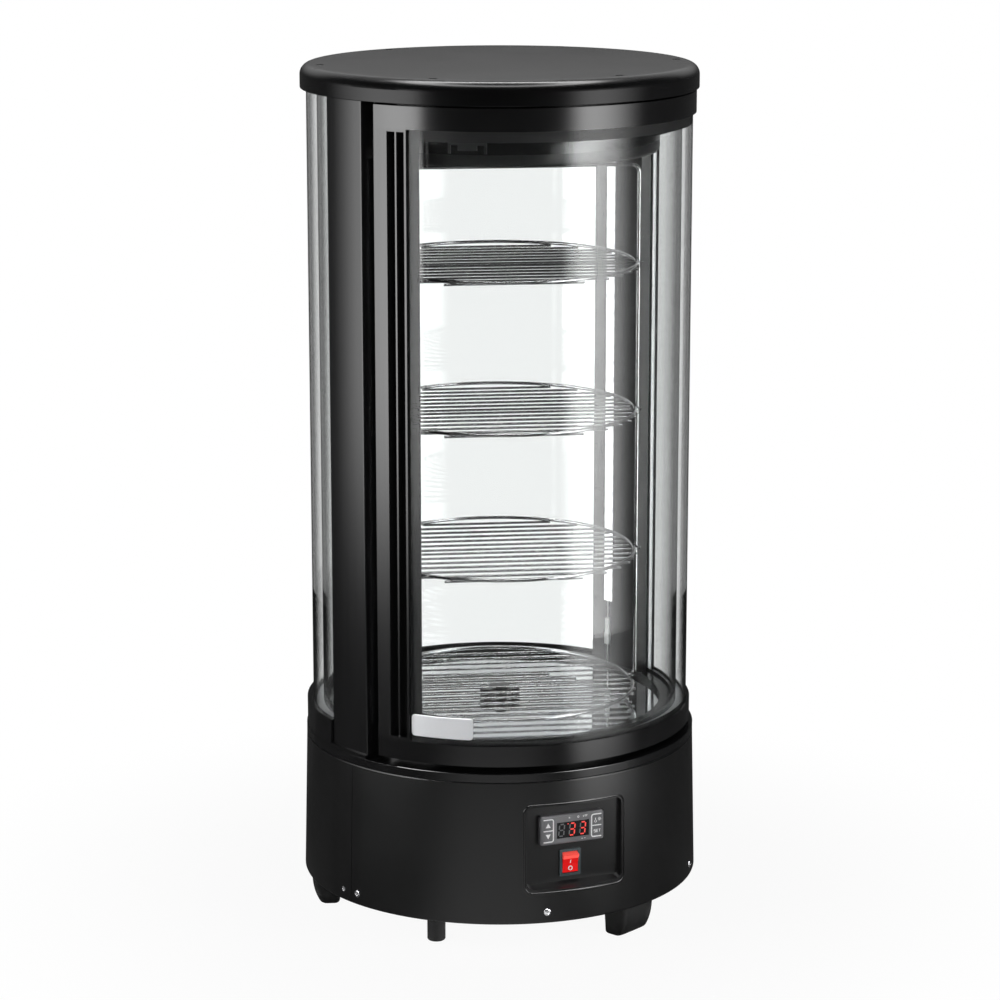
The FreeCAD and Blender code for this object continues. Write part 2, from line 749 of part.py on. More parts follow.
def rear_spacer():
    """Spacer of the rear glazing."""
    start, stop = rear_limits()
    return spacer_frame(start, stop, collar_z1 - channel_depth + fit, lid_z0 + top_channel_depth - fit)


def glazing_gasket():
    """Black rim that seals the foot of the rear inner pane to the collar."""
    start, stop = rear_limits()
    thick = 2.6
    outer = inner_pane_inner
    return turned([(outer - thick, collar_z1), (outer, collar_z1), (outer, collar_z1 + 5.2),
                   (outer - 0.9, collar_z1 + 5.2), (outer - thick, collar_z1 + 3.2)],
                  90.0 + cover_half + 0.3, 270.0 - cover_half - 0.3)


def lid_screw_points(z):
    """Places of the lid screws at a height; one is straight ahead."""
    return [around(lid_screw_reach, 360.0 / lid_screw_count * i, z) for i in range(lid_screw_count)]


def top_frame():
    """Ring and deck that join posts, rear glass, header and lid; bosses take the lid screws."""
    outer = lid_radius - moulding - fit
    inner = header_radius - moulding - 1
    deck_z1 = lid_z0 + sheet
    ring_z1 = lid_z0 + 9.0
    start, stop = 90.0 + post_half, 270.0 - post_half
    frame = turned([(0, lid_z0), (outer, lid_z0), (outer, ring_z1), (inner, ring_z1),
                    (inner, deck_z1), (0, deck_z1)])
    frame = frame.cut(ring(channel_inner, channel_outer, lid_z0 - 1, lid_z0 + top_channel_depth,
                           start, stop))
    bosses = [rod(6.0, p, V(p.x, p.y, lid_z1 - moulding)) for p in lid_screw_points(ring_z1)]
    frame = fused([frame] + bosses)
    holes = [rod(2.0, p, V(p.x, p.y, lid_z1)) for p in lid_screw_points(lid_z1 - moulding - 8.0)]
    holes.append(rod(pin_radius + fit / 2, around(pin_reach, pin_azimuth, lid_z0 - 1),
                     around(pin_reach, pin_azimuth, ring_z1 + 1)))
    return frame.cut(Part.makeCompound(holes))


def lid():
    """Round cap with a full rounded edge and counterbored screw holes."""
    r, z0, z1, e, wall = lid_radius, lid_z0, lid_z1, lid_round, moulding
    k = math.sqrt(0.5)
    inner_e = e - wall
    outer_path = [V(0, 0, z1), V(r - e, 0, z1), V(r - e + e * k, 0, z1 - e + e * k), V(r, 0, z1 - e),
                  V(r, 0, z0), V(r - wall, 0, z0), V(r - wall, 0, z1 - wall - inner_e),
                  V(r - e + inner_e * k, 0, z1 - wall - inner_e + inner_e * k),
                  V(r - wall - inner_e, 0, z1 - wall), V(0, 0, z1 - wall)]
    p = outer_path
    edges = [Part.makeLine(p[0], p[1]), Part.Arc(p[1], p[2], p[3]).toShape(), Part.makeLine(p[3], p[4]),
             Part.makeLine(p[4], p[5]), Part.makeLine(p[5], p[6]), Part.Arc(p[6], p[7], p[8]).toShape(),
             Part.makeLine(p[8], p[9]), Part.makeLine(p[9], p[0])]
    cap = softened(Part.Face(Part.Wire(edges)).revolve(V(0, 0, 0), V(0, 0, 1), 360), r, z0, edge_round)
    cuts = [rod(lid_screw_radius, q, V(q.x, q.y, z1 + 1)) for q in lid_screw_points(z1 - 1.6)]
    cuts += [rod(2.0, q, V(q.x, q.y, z1)) for q in lid_screw_points(z1 - wall - 1)]
    return cap.cut(Part.makeCompound(cuts))


def lid_screws():
    """Countersunk-looking screws, sunk in the lid and driven into the bosses."""
    screws = []
    top = lid_z1 - 0.5
    for p in lid_screw_points(lid_z1 - 1.6):
        head = rod(lid_screw_radius - fit, p, V(p.x, p.y, top))
        shank = rod(2.0 - fit / 2, V(p.x, p.y, p.z - 8.0), p)
        screws.append(fused([head, shank]))
    return Part.makeCompound(screws)


def header_shell():
    """Drum behind the head of the door; it hides the evaporator."""
    return ring(header_radius - moulding, header_radius, header_z0, lid_z0)


def ceiling_pan():
    """Stepped ceiling under the header, with a ring of air slots round the fan opening."""
    outer = ceiling_radius
    lip = header_radius - moulding
    pan = turned([(0, ceiling_z0), (outer - 4, ceiling_z0), (outer, ceiling_z0 + 4), (outer, header_z0),
                  (lip - 3, header_z0), (lip - 3, ceiling_z0 + 4), (lip - 4, ceiling_z0 + sheet),
                  (0, ceiling_z0 + sheet)])
    slots = []
    for reach, count, length in ((24.0, 6, 10.0), (42.0, 12, 12.0), (132.0, 28, 18.0)):
        for i in range(count):
            slot = block(-2.2, 2.2, -reach - length / 2, -reach + length / 2,
                         ceiling_z0 - 1, ceiling_z0 + sheet + 1)
            slots.append(at_azimuth(slot, 360.0 / count * i))
    return pan.cut(Part.makeCompound(slots))


def door_catch():
    """Clip on the header that the closed door's magnet pulls to."""
    face = header_radius
    z1, z0 = header_z0 + 12.0, header_z0 - 1.5
    middle, width, arm = -49.4, 42.0, 3.0
    half = half_angle(width, face)
    turn = arc_angle(arm, face)
    parts = [ring(face, face + 1.6, z1 - 3.0, z1, middle - half, middle + half),
             ring(face, face + 2.2, z0 + 1.5, z1 - 3.0, middle - half, middle - half + turn),
             ring(face, face + 2.2, z0 + 1.5, z1 - 3.0, middle + half - turn, middle + half),
             ring(face, face + 1.6, z1 - 8.5, z1 - 3.0, middle - half / 2, middle + half / 2)]
    return fused(parts)


# ---------------------------------------------------------------- door
def rail(z0, z1, flange_z, groove_z0, groove_z1):
    """Curved door rail: outer face, inner lip and the groove for the panes."""
    low, high = min(z0, flange_z), max(z1, flange_z)
    body = ring(door_inner, door_radius, z0, z1, door_left, door_right)
    lip = ring(door_inner, inner_pane_inner - fit, low, high, door_left, door_right)
    groove = ring(inner_pane_inner - fit, glass_radius + fit, groove_z0, groove_z1,
                  stile_right, door_right - 0.3)
    return fused([body, lip]).cut(groove)


def door_top_rail():
    """Upper rail, bored for the upper hinge pin."""
    z0 = door_z1 - rail_height_top
    body = rail(z0, door_z1, z0 - inner_flange_top, z0 - 1, z0 + rail_rebate)
    return body.cut(rod(pin_radius + running, around(pin_reach, pin_azimuth, door_z1 - pin_depth - 0.3),
                        around(pin_reach, pin_azimuth, door_z1 + 1)))


def door_bottom_rail():
    """Lower rail, bored for the lower hinge pin that carries the door."""
    z1 = door_z0 + rail_height_foot
    body = rail(door_z0, z1, z1 + inner_flange_foot, z1 - rail_rebate, z1 + 1)
    return body.cut(rod(pin_radius + running, around(pin_reach, pin_azimuth, door_z0 - 1),
                        around(pin_reach, pin_azimuth, door_z0 + pin_depth + 0.3)))


def door_handle_stile():
    """Handle side of the door: flat face, finger groove with a fin in it, and a thin lip."""
    z0, z1 = door_z0 + rail_height_foot, door_z1 - rail_height_top
    lip_z0, lip_z1 = z0 + inner_flange_foot, z1 - inner_flange_top
    body = fused([ring(channel_inner, door_radius, z0, z1, door_left, stile_right),
                  ring(door_inner, channel_inner, lip_z0, lip_z1, door_left,
                       stile_right + arc_angle(spacer_width, door_radius))])
    right = stile_right - arc_angle(groove_lip, door_radius)
    left = right - arc_angle(groove_width, door_radius)
    fin_left = left + arc_angle(groove_width * 0.42, door_radius)
    fin_right = fin_left + arc_angle(ridge_width, door_radius)
    floor = door_radius - groove_depth
    end = 3.0
    groove = ring(floor, door_radius + 1, z0 + end, z1 - end, left, right)
    fin = ring(floor - 1, floor + ridge_height, z0 + end, z1 - end, fin_left, fin_right)
    return body.cut(groove.cut(fin))


def door_hinge_cap():
    """Slim channel over the hinge edge of the door glass."""
    z0, z1 = door_z0 + rail_height_foot, door_z1 - rail_height_top
    lip_z0, lip_z1 = z0 + inner_flange_foot, z1 - inner_flange_top
    body = fused([ring(channel_inner, door_radius - 2.0, z0, z1, cap_left, door_right),
                  ring(door_inner, channel_inner, lip_z0, lip_z1, cap_left, door_right)])
    return body.cut(ring(channel_inner, channel_outer, z0 - 1, z1 + 1, cap_left - 1, door_right - 0.3))


def door_glass(inner, outer):
    """One curved pane of the door."""
    return ring(inner, outer, pane_z0, pane_z1, pane_left, pane_right)


def door_spacer():
    """Perforated aluminium spacer between the door's panes."""
    return spacer_frame(pane_left, pane_right, pane_z0, pane_z1)


def door_gasket():
    """Soft magnetic seal on the inside of the door frame."""
    inner, outer = upstand_radius + gasket_gap, door_inner
    z0, z1 = door_z0 + 4.0, door_z1 - 4.0
    left, right = door_left + 0.6, door_right - 6.0
    tall = 9.0
    head = ring(inner, outer, z1 - tall, z1, left, right)
    foot = ring(inner, outer, z0, z0 + tall, left, right)
    side = ring(inner, outer, door_z0 + rail_height_foot + inner_flange_foot,
                door_z1 - rail_height_top - inner_flange_top, left, left + 2.4)
    link_low = ring(inner, outer, z0 + tall, door_z0 + rail_height_foot + inner_flange_foot, left, left + 2.4)
    link_high = ring(inner, outer, door_z1 - rail_height_top - inner_flange_top, z1 - tall, left, left + 2.4)
    return fused([head, foot, side, link_low, link_high])


def hinge_pins():
    """Two pins on the hinge axis; the lower one has a shoulder that carries the door."""
    def at(z):
        return around(pin_reach, pin_azimuth, z)
    lower = fused([rod(pin_radius, at(collar_z0), at(door_z0 + pin_depth)),
                   rod(shoulder_radius, at(ledge_z), at(door_z0 - 0.05))])
    upper = fused([rod(pin_radius, at(door_z1 - pin_depth), at(lid_z0 + 9.0)),
                   rod(shoulder_radius - 1.5, at(door_z1 + 0.4), at(lid_z0))])
    return Part.makeCompound([lower, upper])


# ---------------------------------------------------------------- rotating rack
def in_rack(shape):
    """Shape drawn with its wires along X, turned to the rack's rest position."""
    moved = shape.copy()
    moved.rotate(V(0, 0, 0), V(0, 0, 1), rack_yaw)
    return moved


def shelf(rim_z):
    """Round wire shelf: rim, straight wires under it and a loop that hooks round both posts."""
    wire_z = rim_z - rim_wire / 2 - grid_wire / 2
    reach = ring_radius + rim_wire / 2 + grid_overhang
    parts = [Part.makeTorus(ring_radius, rim_wire / 2, V(0, 0, rim_z))]
    loop_half = loop_width / 2
    parts += straight_wires(reach, wire_z, range(1, grid_side_count + 1))
    bend_x = post_wire_reach + (hoop_wire + grid_wire) / 2 + 0.05 - loop_half
    for y in (-loop_half, loop_half):
        parts.append(rod(grid_wire / 2, V(-bend_x, y, wire_z), V(bend_x, y, wire_z)))
    for side in (-1, 1):
        start = V(side * bend_x, -loop_half, wire_z)
        section = Part.Face(Part.Wire(Part.makeCircle(grid_wire / 2, start, V(1, 0, 0))))
        parts.append(section.revolve(V(side * bend_x, 0, wire_z), V(0, 0, side), 180))
    return in_rack(Part.makeCompound(parts))


def straight_wires(reach, wire_z, places):
    """Straight wires on both sides of the middle, ending on a circle; place 0 is the middle pair."""
    wires = []
    for i in places:
        offset = loop_width / 2 + grid_pitch * i
        half = math.sqrt(max(reach * reach - offset * offset, 1.0))
        for y in (-offset, offset):
            wires.append(rod(grid_wire / 2, V(-half, y, wire_z), V(half, y, wire_z)))
    return wires


def lowest_shelf():
    """Bottom shelf: like the others, but its middle pair of wires is clipped in the hub."""
    rim_z = shelf_rim_z[0]
    wire_z = rim_z - rim_wire / 2 - grid_wire / 2
    reach = ring_radius + rim_wire / 2 + grid_overhang
    parts = [Part.makeTorus(ring_radius, rim_wire / 2, V(0, 0, rim_z))]
    parts += straight_wires(reach, wire_z, range(grid_side_count + 1))
    return in_rack(Part.makeCompound(parts))


def rack_hoop():
    """Bent wire hoop that carries the shelves; its ends turn in over the lowest rim."""
    top_z = ceiling_z0 - hoop_drop
    reach, bend, foot_bend = post_wire_reach, hoop_corner, 6.0
    foot_z = shelf_rim_z[0] + rim_wire / 2 + hoop_wire / 2
    k = math.sqrt(0.5)
    right = [V(reach - foot_bend - 2.0, 0, foot_z), V(reach - foot_bend, 0, foot_z),
             V(reach - foot_bend + foot_bend * k, 0, foot_z + foot_bend - foot_bend * k),
             V(reach, 0, foot_z + foot_bend), V(reach, 0, top_z - bend),
             V(reach - bend + bend * k, 0, top_z - bend + bend * k), V(reach - bend, 0, top_z)]
    left = [V(-p.x, 0, p.z) for p in right]
    edges = []
    for p in (right, left):
        edges += [Part.makeLine(p[0], p[1]), Part.Arc(p[1], p[2], p[3]).toShape(),
                  Part.makeLine(p[3], p[4]), Part.Arc(p[4], p[5], p[6]).toShape()]
    edges.append(Part.makeLine(right[6], left[6]))
    path = Part.Wire(Part.__sortEdges__(edges))
    first = path.OrderedVertexes[0].Point
    side = 1 if first.x > 0 else -1
    section = Part.Wire(Part.makeCircle(hoop_wire / 2, first, V(side, 0, 0)))
    return in_rack(path.makePipeShell([section], True, False))


def drive_hub():
    """Lobed plastic hub on the shaft; grooves in its top hold the lowest shelf's wires."""
    z0 = floor_z + hub_gap
    z1 = z0 + hub_height
    lobes = [rod(hub_lobe_radius, around(hub_reach, 360.0 / hub_lobes * i, z0),
                 around(hub_reach, 360.0 / hub_lobes * i, z1)) for i in range(hub_lobes)]
    body = in_rack(fused([rod(hub_reach - 1.0, V(0, 0, z0), V(0, 0, z1))] + lobes))
    wire_z = shelf_rim_z[0] - rim_wire / 2 - grid_wire / 2
    top = wire_z + 1.2
    crown = rod(loop_width / 2 + grid_wire, V(0, 0, z1), V(0, 0, top))
    body = fused([body, crown])
    grooves = []
    end = hub_reach + 2 * hub_lobe_radius
    bore = grid_wire / 2 + 0.05
    for y in (-loop_width / 2, loop_width / 2):
        channel = rod(bore, V(-end, y, wire_z), V(end, y, wire_z))
        mouth = block(-end, end, y - bore, y + bore, wire_z, top + 1)
        grooves.append(in_rack(channel.fuse(mouth)))
    shaft_socket = rod(shaft_radius, V(0, 0, z0 - 1), V(0, 0, z0 + hub_height - 2))
    return body.cut(Part.makeCompound(grooves + [shaft_socket]))


def drive_shaft():
    """Shaft from the gearmotor up through the floor bearing into the hub."""
    return rod(shaft_radius, V(0, 0, collar_z0 - 12.0), V(0, 0, floor_z + hub_gap + hub_height - 2))


# ---------------------------------------------------------------- machinery
def gearmotor():
    """Geared motor hung under the foam floor, hollow at the top for the shaft."""
    top = collar_z0
    can = rod(gearmotor_radius, V(0, 0, top - gearmotor_height), V(0, 0, top))
    lower = rod(motor_radius, V(0, 0, top - gearmotor_height - 26), V(0, 0, top - gearmotor_height))
    ears = block(-gearmotor_radius - 12, gearmotor_radius + 12, -10, 10, top - 4, top)
    body = fused([can, lower, ears])
    return body.cut(rod(shaft_radius + running, V(0, 0, top - 12.5), V(0, 0, top + 1)))


def compressor():
    """Hermetic compressor: domed pot on a foot plate."""
    centre = around(machine_reach - compressor_inset - compressor_radius, compressor_azimuth, 0)
    x, y = centre.x, centre.y
    z0 = foot_height + sheet
    pot = Part.makeCylinder(compressor_radius, compressor_height - 14, V(x, y, z0 + 14))
    rims = [e for e in pot.Edges if e.Curve.TypeId == "Part::GeomCircle"]
    pot = pot.makeFillet(26.0, rims)
    plate = block(x - 58, x + 58, y - 42, y + 42, z0 + 10, z0 + 14.5)
    posts = [rod(9.0, V(x + sx * 46, y + sy * 30, z0), V(x + sx * 46, y + sy * 30, z0 + 10))
             for sx in (-1, 1) for sy in (-1, 1)]
    return fused([pot, plate] + posts)


def fin_block(size, corner, fins):
    """Coil block with a row of slots between its fins."""
    width, depth, height = size
    body = Part.makeBox(width, depth, height, corner)
    pitch = (width - 16.0) / fins
    slots = [Part.makeBox(pitch * 0.5, depth + 2, height - 16, V(corner.x + 8 + pitch * (i + 0.25),
                                                               corner.y - 1, corner.z + 8))
             for i in range(fins)]
    return body.cut(Part.makeCompound(slots))


def condenser():
    """Condenser coil standing on the base pan behind the air slots."""
    width, depth, height = condenser_size
    return fin_block(condenser_size, V(condenser_x - width / 2, condenser_y, foot_height + sheet), 12)


def fan(radius, blades, length):
    """Axial fan rotor about Z, its hub from 0 to length: hub and pitched blades."""
    hub = Part.makeCylinder(radius * 0.3, length)
    parts = [hub]
    for i in range(blades):
        blade = block(radius * 0.25, radius, -radius * 0.27, radius * 0.27, -0.7, 0.7)
        blade.rotate(V(0, 0, 0), V(1, 0, 0), 24)
        blade.translate(V(0, 0, length / 2))
        blade.rotate(V(0, 0, 0), V(0, 0, 1), 360.0 / blades * i)
        parts.append(blade)
    rotor = fused(parts)
    return rotor.common(Part.makeCylinder(radius, length * 3, V(0, 0, -length)))


def condenser_fan_motor():
    """Motor in front of the condenser, on a bracket that stands on the base pan."""
    y1 = condenser_y - motor_gap
    motor = rod(motor_radius, V(condenser_x, y1 - motor_length, fan_axis_z),
                V(condenser_x, y1, fan_axis_z))
    stem = rod(3.0, V(condenser_x, y1 - 1, fan_axis_z), V(condenser_x, y1 + 15, fan_axis_z))
    bracket = block(condenser_x - 16, condenser_x + 16, y1 - 30, y1 - 26, foot_height + sheet, fan_axis_z)
    foot = block(condenser_x - 16, condenser_x + 16, y1 - 30, y1 - 8, foot_height + sheet,
                 foot_height + 2 * sheet)
    return fused([motor, stem, bracket, foot])


def condenser_fan_blades():
    """Fan rotor between motor and condenser."""
    rotor = fan(fan_radius, fan_blades, 12.0)
    rotor = rotor.cut(Part.makeCylinder(3.0 + running, 30, V(0, 0, -9)))
    rotor.rotate(V(0, 0, 0), V(1, 0, 0), -90)
    rotor.translate(V(condenser_x, condenser_y - motor_gap + 1.5, fan_axis_z))
    return rotor


def evaporator():
    """Evaporator coil hung from the deck in the back of the header."""
    width, depth, height = evaporator_size
    return fin_block(evaporator_size, V(-width / 2, evaporator_y, lid_z0 - height), 14)


def evaporator_fan_motor():
    """Motor under the deck, in the middle of the ceiling."""
    motor = rod(motor_radius, V(0, 0, lid_z0 - 24), V(0, 0, lid_z0))
    return fused([motor, rod(3.0, V(0, 0, lid_z0 - 42), V(0, 0, lid_z0 - 23))])


def evaporator_fan_blades():
    """Fan rotor that blows down through the ceiling slots."""
    rotor = fan(fan_radius, fan_blades, 12.0)
    rotor = rotor.cut(Part.makeCylinder(3.0 + running, 30, V(0, 0, -9)))
    rotor.translate(V(0, 0, lid_z0 - 38))
    return rotor


# ---------------------------------------------------------------- all nodes
nodes = {
    "base_pan": base_pan(),
    "block_feet": block_feet(),
    "round_feet": round_feet(),
    "skirt_front": skirt_front(),
    "skirt_rear": skirt_rear(),
    "skirt_screws": skirt_screws(),
    "mains_inlet": mains_inlet(),
    "collar": fused([collar(), collar_lands()]),
    "floor_insulation": floor_insulation(),
    "floor_plate": floor_plate(),
    "floor_bearing": floor_bearing(),
    "gearmotor": gearmotor(),
    "compressor": compressor(),
    "condenser": condenser(),
    "condenser_fan_motor": condenser_fan_motor(),
    "condenser_fan_blades": condenser_fan_blades(),
    "control_panel": control_panel(),
    "thermostat_case": thermostat_case(),
    "display_window": display_window(),
    "switch_frame": switch_frame(),
    "switch_rocker": switch_rocker(),
    "post_left": post(-90.0),
    "post_right": post(90.0),
    "light_cover_left": light_cover(-90.0),
    "light_cover_right": light_cover(90.0),
    "led_strip_left": led_strip(-90.0),
    "led_strip_right": led_strip(90.0),
    "rear_glass_outer": rear_glass(outer_pane_inner, glass_radius),
    "rear_glass_inner": rear_glass(inner_pane_inner, inner_pane_outer),
    "rear_glass_spacer": rear_spacer(),
    "glazing_gasket": glazing_gasket(),
    "top_frame": top_frame(),
    "lid": lid(),
    "lid_screws": lid_screws(),
    "header_shell": header_shell(),
    "ceiling_pan": ceiling_pan(),
    "evaporator": evaporator(),
    "evaporator_fan_motor": evaporator_fan_motor(),
    "evaporator_fan_blades": evaporator_fan_blades(),
    "door_catch": door_catch(),
    "hinge_pins": hinge_pins(),
    "door_top_rail": door_top_rail(),
    "door_bottom_rail": door_bottom_rail(),
    "door_handle_stile": door_handle_stile(),
    "door_hinge_cap": door_hinge_cap(),
    "door_glass_outer": door_glass(outer_pane_inner, glass_radius),
    "door_glass_inner": door_glass(inner_pane_inner, inner_pane_outer),
    "door_spacer": door_spacer(),
    "door_gasket": door_gasket(),
    "rack_hoop": rack_hoop(),
    "drive_hub": drive_hub(),
    "drive_shaft": drive_shaft(),
    "shelf_1": shelf(shelf_rim_z[3]),
    "shelf_2": shelf(shelf_rim_z[2]),
    "shelf_3": shelf(shelf_rim_z[1]),
    "shelf_4": lowest_shelf(),
}
for key in key_centres():
    nodes[key] = thermostat_key(key)

os.makedirs("parts", exist_ok=True)
for name, shape in nodes.items():
    shape.exportStep("parts/" + name + ".step")
    print(name, len(shape.Solids), round(shape.Volume), shape.isValid())
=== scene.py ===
import math

import bmesh
import bpy
import numpy as np
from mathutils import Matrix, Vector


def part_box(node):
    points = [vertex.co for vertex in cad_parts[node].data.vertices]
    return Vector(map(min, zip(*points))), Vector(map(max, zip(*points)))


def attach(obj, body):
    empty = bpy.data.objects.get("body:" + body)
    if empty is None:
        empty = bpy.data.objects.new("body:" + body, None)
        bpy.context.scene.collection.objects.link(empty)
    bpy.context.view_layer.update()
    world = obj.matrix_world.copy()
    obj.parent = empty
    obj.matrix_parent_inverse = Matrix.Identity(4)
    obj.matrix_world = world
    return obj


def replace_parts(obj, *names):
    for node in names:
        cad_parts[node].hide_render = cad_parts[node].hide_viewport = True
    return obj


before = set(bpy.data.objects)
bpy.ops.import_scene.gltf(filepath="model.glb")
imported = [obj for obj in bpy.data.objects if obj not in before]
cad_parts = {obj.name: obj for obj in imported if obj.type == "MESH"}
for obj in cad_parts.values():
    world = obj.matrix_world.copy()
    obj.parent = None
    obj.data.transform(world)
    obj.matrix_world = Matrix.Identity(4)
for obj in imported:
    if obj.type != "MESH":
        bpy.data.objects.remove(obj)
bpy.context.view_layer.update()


# ---------------------------------------------------------------- camera
# A long lens in front of the cabinet, to the left of its door's middle and a little above
# its lid, so that the lid's top and the control panel both show.
eye = (-2.395, -2.906, 1.338)
heading, dip = math.radians(39.5), math.radians(12.82)
camera = bpy.data.objects.new("camera", bpy.data.cameras.new("camera"))
camera.data.lens = 119.5
camera.location = eye
camera.rotation_euler = (math.pi / 2 - dip, 0, -heading)
bpy.context.scene.collection.objects.link(camera)
bpy.context.scene.camera = camera
bpy.context.scene.view_settings.view_transform = "Standard"


# ---------------------------------------------------------------- studio
# A white room with a pale floor. A round wall of light stands about the cabinet, with one tall
# bright patch at each side that draws the long highlights down the round sides; a narrow lamp
# overhead draws thin bright lines along the rims.
class Signal:
    """A number, colour or vector on its way through one node tree.

    Arithmetic between signals and numbers adds Math nodes; node() adds any other node, and
    signal["Name"] is another output of the node that the signal comes from.
    """

    def __init__(self, tree, socket=None):
        self.tree, self.socket = tree, socket

    def node(self, kind, inputs=None, output=0, **settings):
        """Add a node: its settings first, then a number or signal per input."""
        made = self.tree.nodes.new(kind)
        for name, value in settings.items():
            setattr(made, name, value)
        for name, value in (inputs or {}).items():
            if isinstance(value, Signal):
                self.tree.links.new(value.socket, made.inputs[name])
            else:
                made.inputs[name].default_value = value
        return Signal(self.tree, made.outputs[output])

    def math(self, operation, *values):
        return self.node("ShaderNodeMath", dict(enumerate(values)), operation=operation)

    def __getitem__(self, name):
        return Signal(self.tree, self.socket.node.outputs[name])

    def __add__(self, other):
        return self.math("ADD", self, other)

    def __sub__(self, other):
        return self.math("SUBTRACT", self, other)

    def __rsub__(self, other):
        return self.math("SUBTRACT", other, self)

    def __mul__(self, other):
        return self.math("MULTIPLY", self, other)

    def __truediv__(self, other):
        return self.math("DIVIDE", self, other)

    def __mod__(self, other):
        return self.math("FLOORED_MODULO", self, other)

    def __lt__(self, other):
        return self.math("LESS_THAN", self, other)

    def __gt__(self, other):
        return self.math("GREATER_THAN", self, other)

    def __abs__(self):
        return self.math("ABSOLUTE", self)

    __radd__, __rmul__ = __add__, __mul__

    def ramp(self, low, high, to_low=0.0, to_high=1.0):
        """Smooth step from to_low to to_high while this value goes from low to high."""
        return self.node("ShaderNodeMapRange", {0: self, 1: low, 2: high, 3: to_low, 4: to_high},
                         interpolation_type="SMOOTHSTEP")

    def blend(self, colour_a, colour_b):
        """Colour a where this value is 0, colour b where it is 1."""
        colours = {6: colour_a, 7: colour_b}
        colours = {k: v if isinstance(v, Signal) else (*v, 1) for k, v in colours.items()}
        return self.node("ShaderNodeMix", {0: self, **colours}, output=2, data_type="RGBA")


def straight_view(start):
    """1 for rays that have met no surface yet, or only gone through glass, and 0 for the rest."""
    path = start.node("ShaderNodeLightPath")
    return (path["Glossy Depth"] < 0.5) * (path["Diffuse Depth"] < 0.5)


away = (math.sin(heading), math.cos(heading), 0.0)
sideways = (math.cos(heading), -math.sin(heading), 0.0)


def part_along(start, vector, direction):
    """Length of a vector's part along a fixed direction."""
    return start.node("ShaderNodeVectorMath", {0: vector, 1: direction}, output="Value",
                      operation="DOT_PRODUCT")


def bearing_of(start, vector):
    """Bearing of a level vector in radians: 0 towards the camera's side, positive to the right."""
    return start.math("ARCTAN2", part_along(start, vector, sideways), 0 - part_along(start, vector, away))


def left_patch(bearing):
    """Bright patch at the left: sharp towards the camera, fading outwards."""
    return bearing.ramp(-1.87, -0.96) * bearing.ramp(-0.78, -0.72, 1.0, 0.0)


def right_patch(bearing):
    """Bright patch at the right, fading outwards."""
    return bearing.ramp(0.6, 0.83) * bearing.ramp(0.88, 1.5, 1.0, 0.0)


patch_glow, back_glow, wall_glow, lamp_glow, room_glow = 7.5, 0.66, 0.05, 20.0, 0.15
world = bpy.data.worlds.new("studio")
world.use_nodes = True
bpy.context.scene.world = world
air = Signal(world.node_tree)
background = world.node_tree.nodes["Background"]
background.inputs["Color"].default_value = (1, 1, 1, 1)
ray = air.node("ShaderNodeTexCoord")["Generated"]
upward = air.node("ShaderNodeSeparateXYZ", {0: ray})["Z"]
ceiling_lamp = upward.ramp(0.84, 0.88) * upward.ramp(0.93, 0.97, 1.0, 0.0)
mirrored = upward.ramp(0.0, 0.5, 0.03, 0.5) + ceiling_lamp * lamp_glow
scattered = air.node("ShaderNodeLightPath")["Diffuse Depth"] > 0.5
room_light = scattered * room_glow + (1 - scattered) * mirrored
view_white = straight_view(air)
level = view_white + (1 - view_white) * room_light
world.node_tree.links.new(level.socket, background.inputs["Strength"])

floor_reach, floor_rings, floor_steps = 4.0, 40, 96
floor_radii = floor_reach * (np.arange(1, floor_rings + 1) / floor_rings) ** 2
floor_turn = np.linspace(0, 2 * math.pi, floor_steps, endpoint=False)


def grid_faces(rows, columns, wrap_rows=False):
    """Quads between neighbours of a grid of points stored row by row. Each row closes on itself,
    and the last row may join the first."""
    r = np.arange(rows if wrap_rows else rows - 1)[:, None]
    c = np.arange(columns)[None, :]
    r2, c2 = (r + 1) % rows, (c + 1) % columns
    corners = [r * columns + c, r * columns + c2, r2 * columns + c2, r2 * columns + c]
    return np.stack([np.broadcast_to(k, (len(r), c.shape[1])) for k in corners], -1).reshape(-1, 4)


def new_piece(name, points, faces, material):
    """Mesh object at the origin from an array of points and a list of faces."""
    mesh = bpy.data.meshes.new(name)
    mesh.from_pydata(np.asarray(points).tolist(), [], [list(map(int, f)) for f in faces])
    mesh.materials.append(material)
    mesh.polygons.foreach_set("use_smooth", [True] * len(mesh.polygons))
    piece = bpy.data.objects.new(name, mesh)
    bpy.context.scene.collection.objects.link(piece)
    return piece


def bare_material(name):
    """Material with nothing but its output."""
    material = bpy.data.materials.new(name)
    material.use_nodes = True
    material.node_tree.nodes.remove(material.node_tree.nodes["Principled BSDF"])
    return material, Signal(material.node_tree)


def surface(material, shader):
    """Use this shader as the material's surface."""
    output = material.node_tree.nodes["Material Output"]
    material.node_tree.links.new(shader.socket, output.inputs["Surface"])


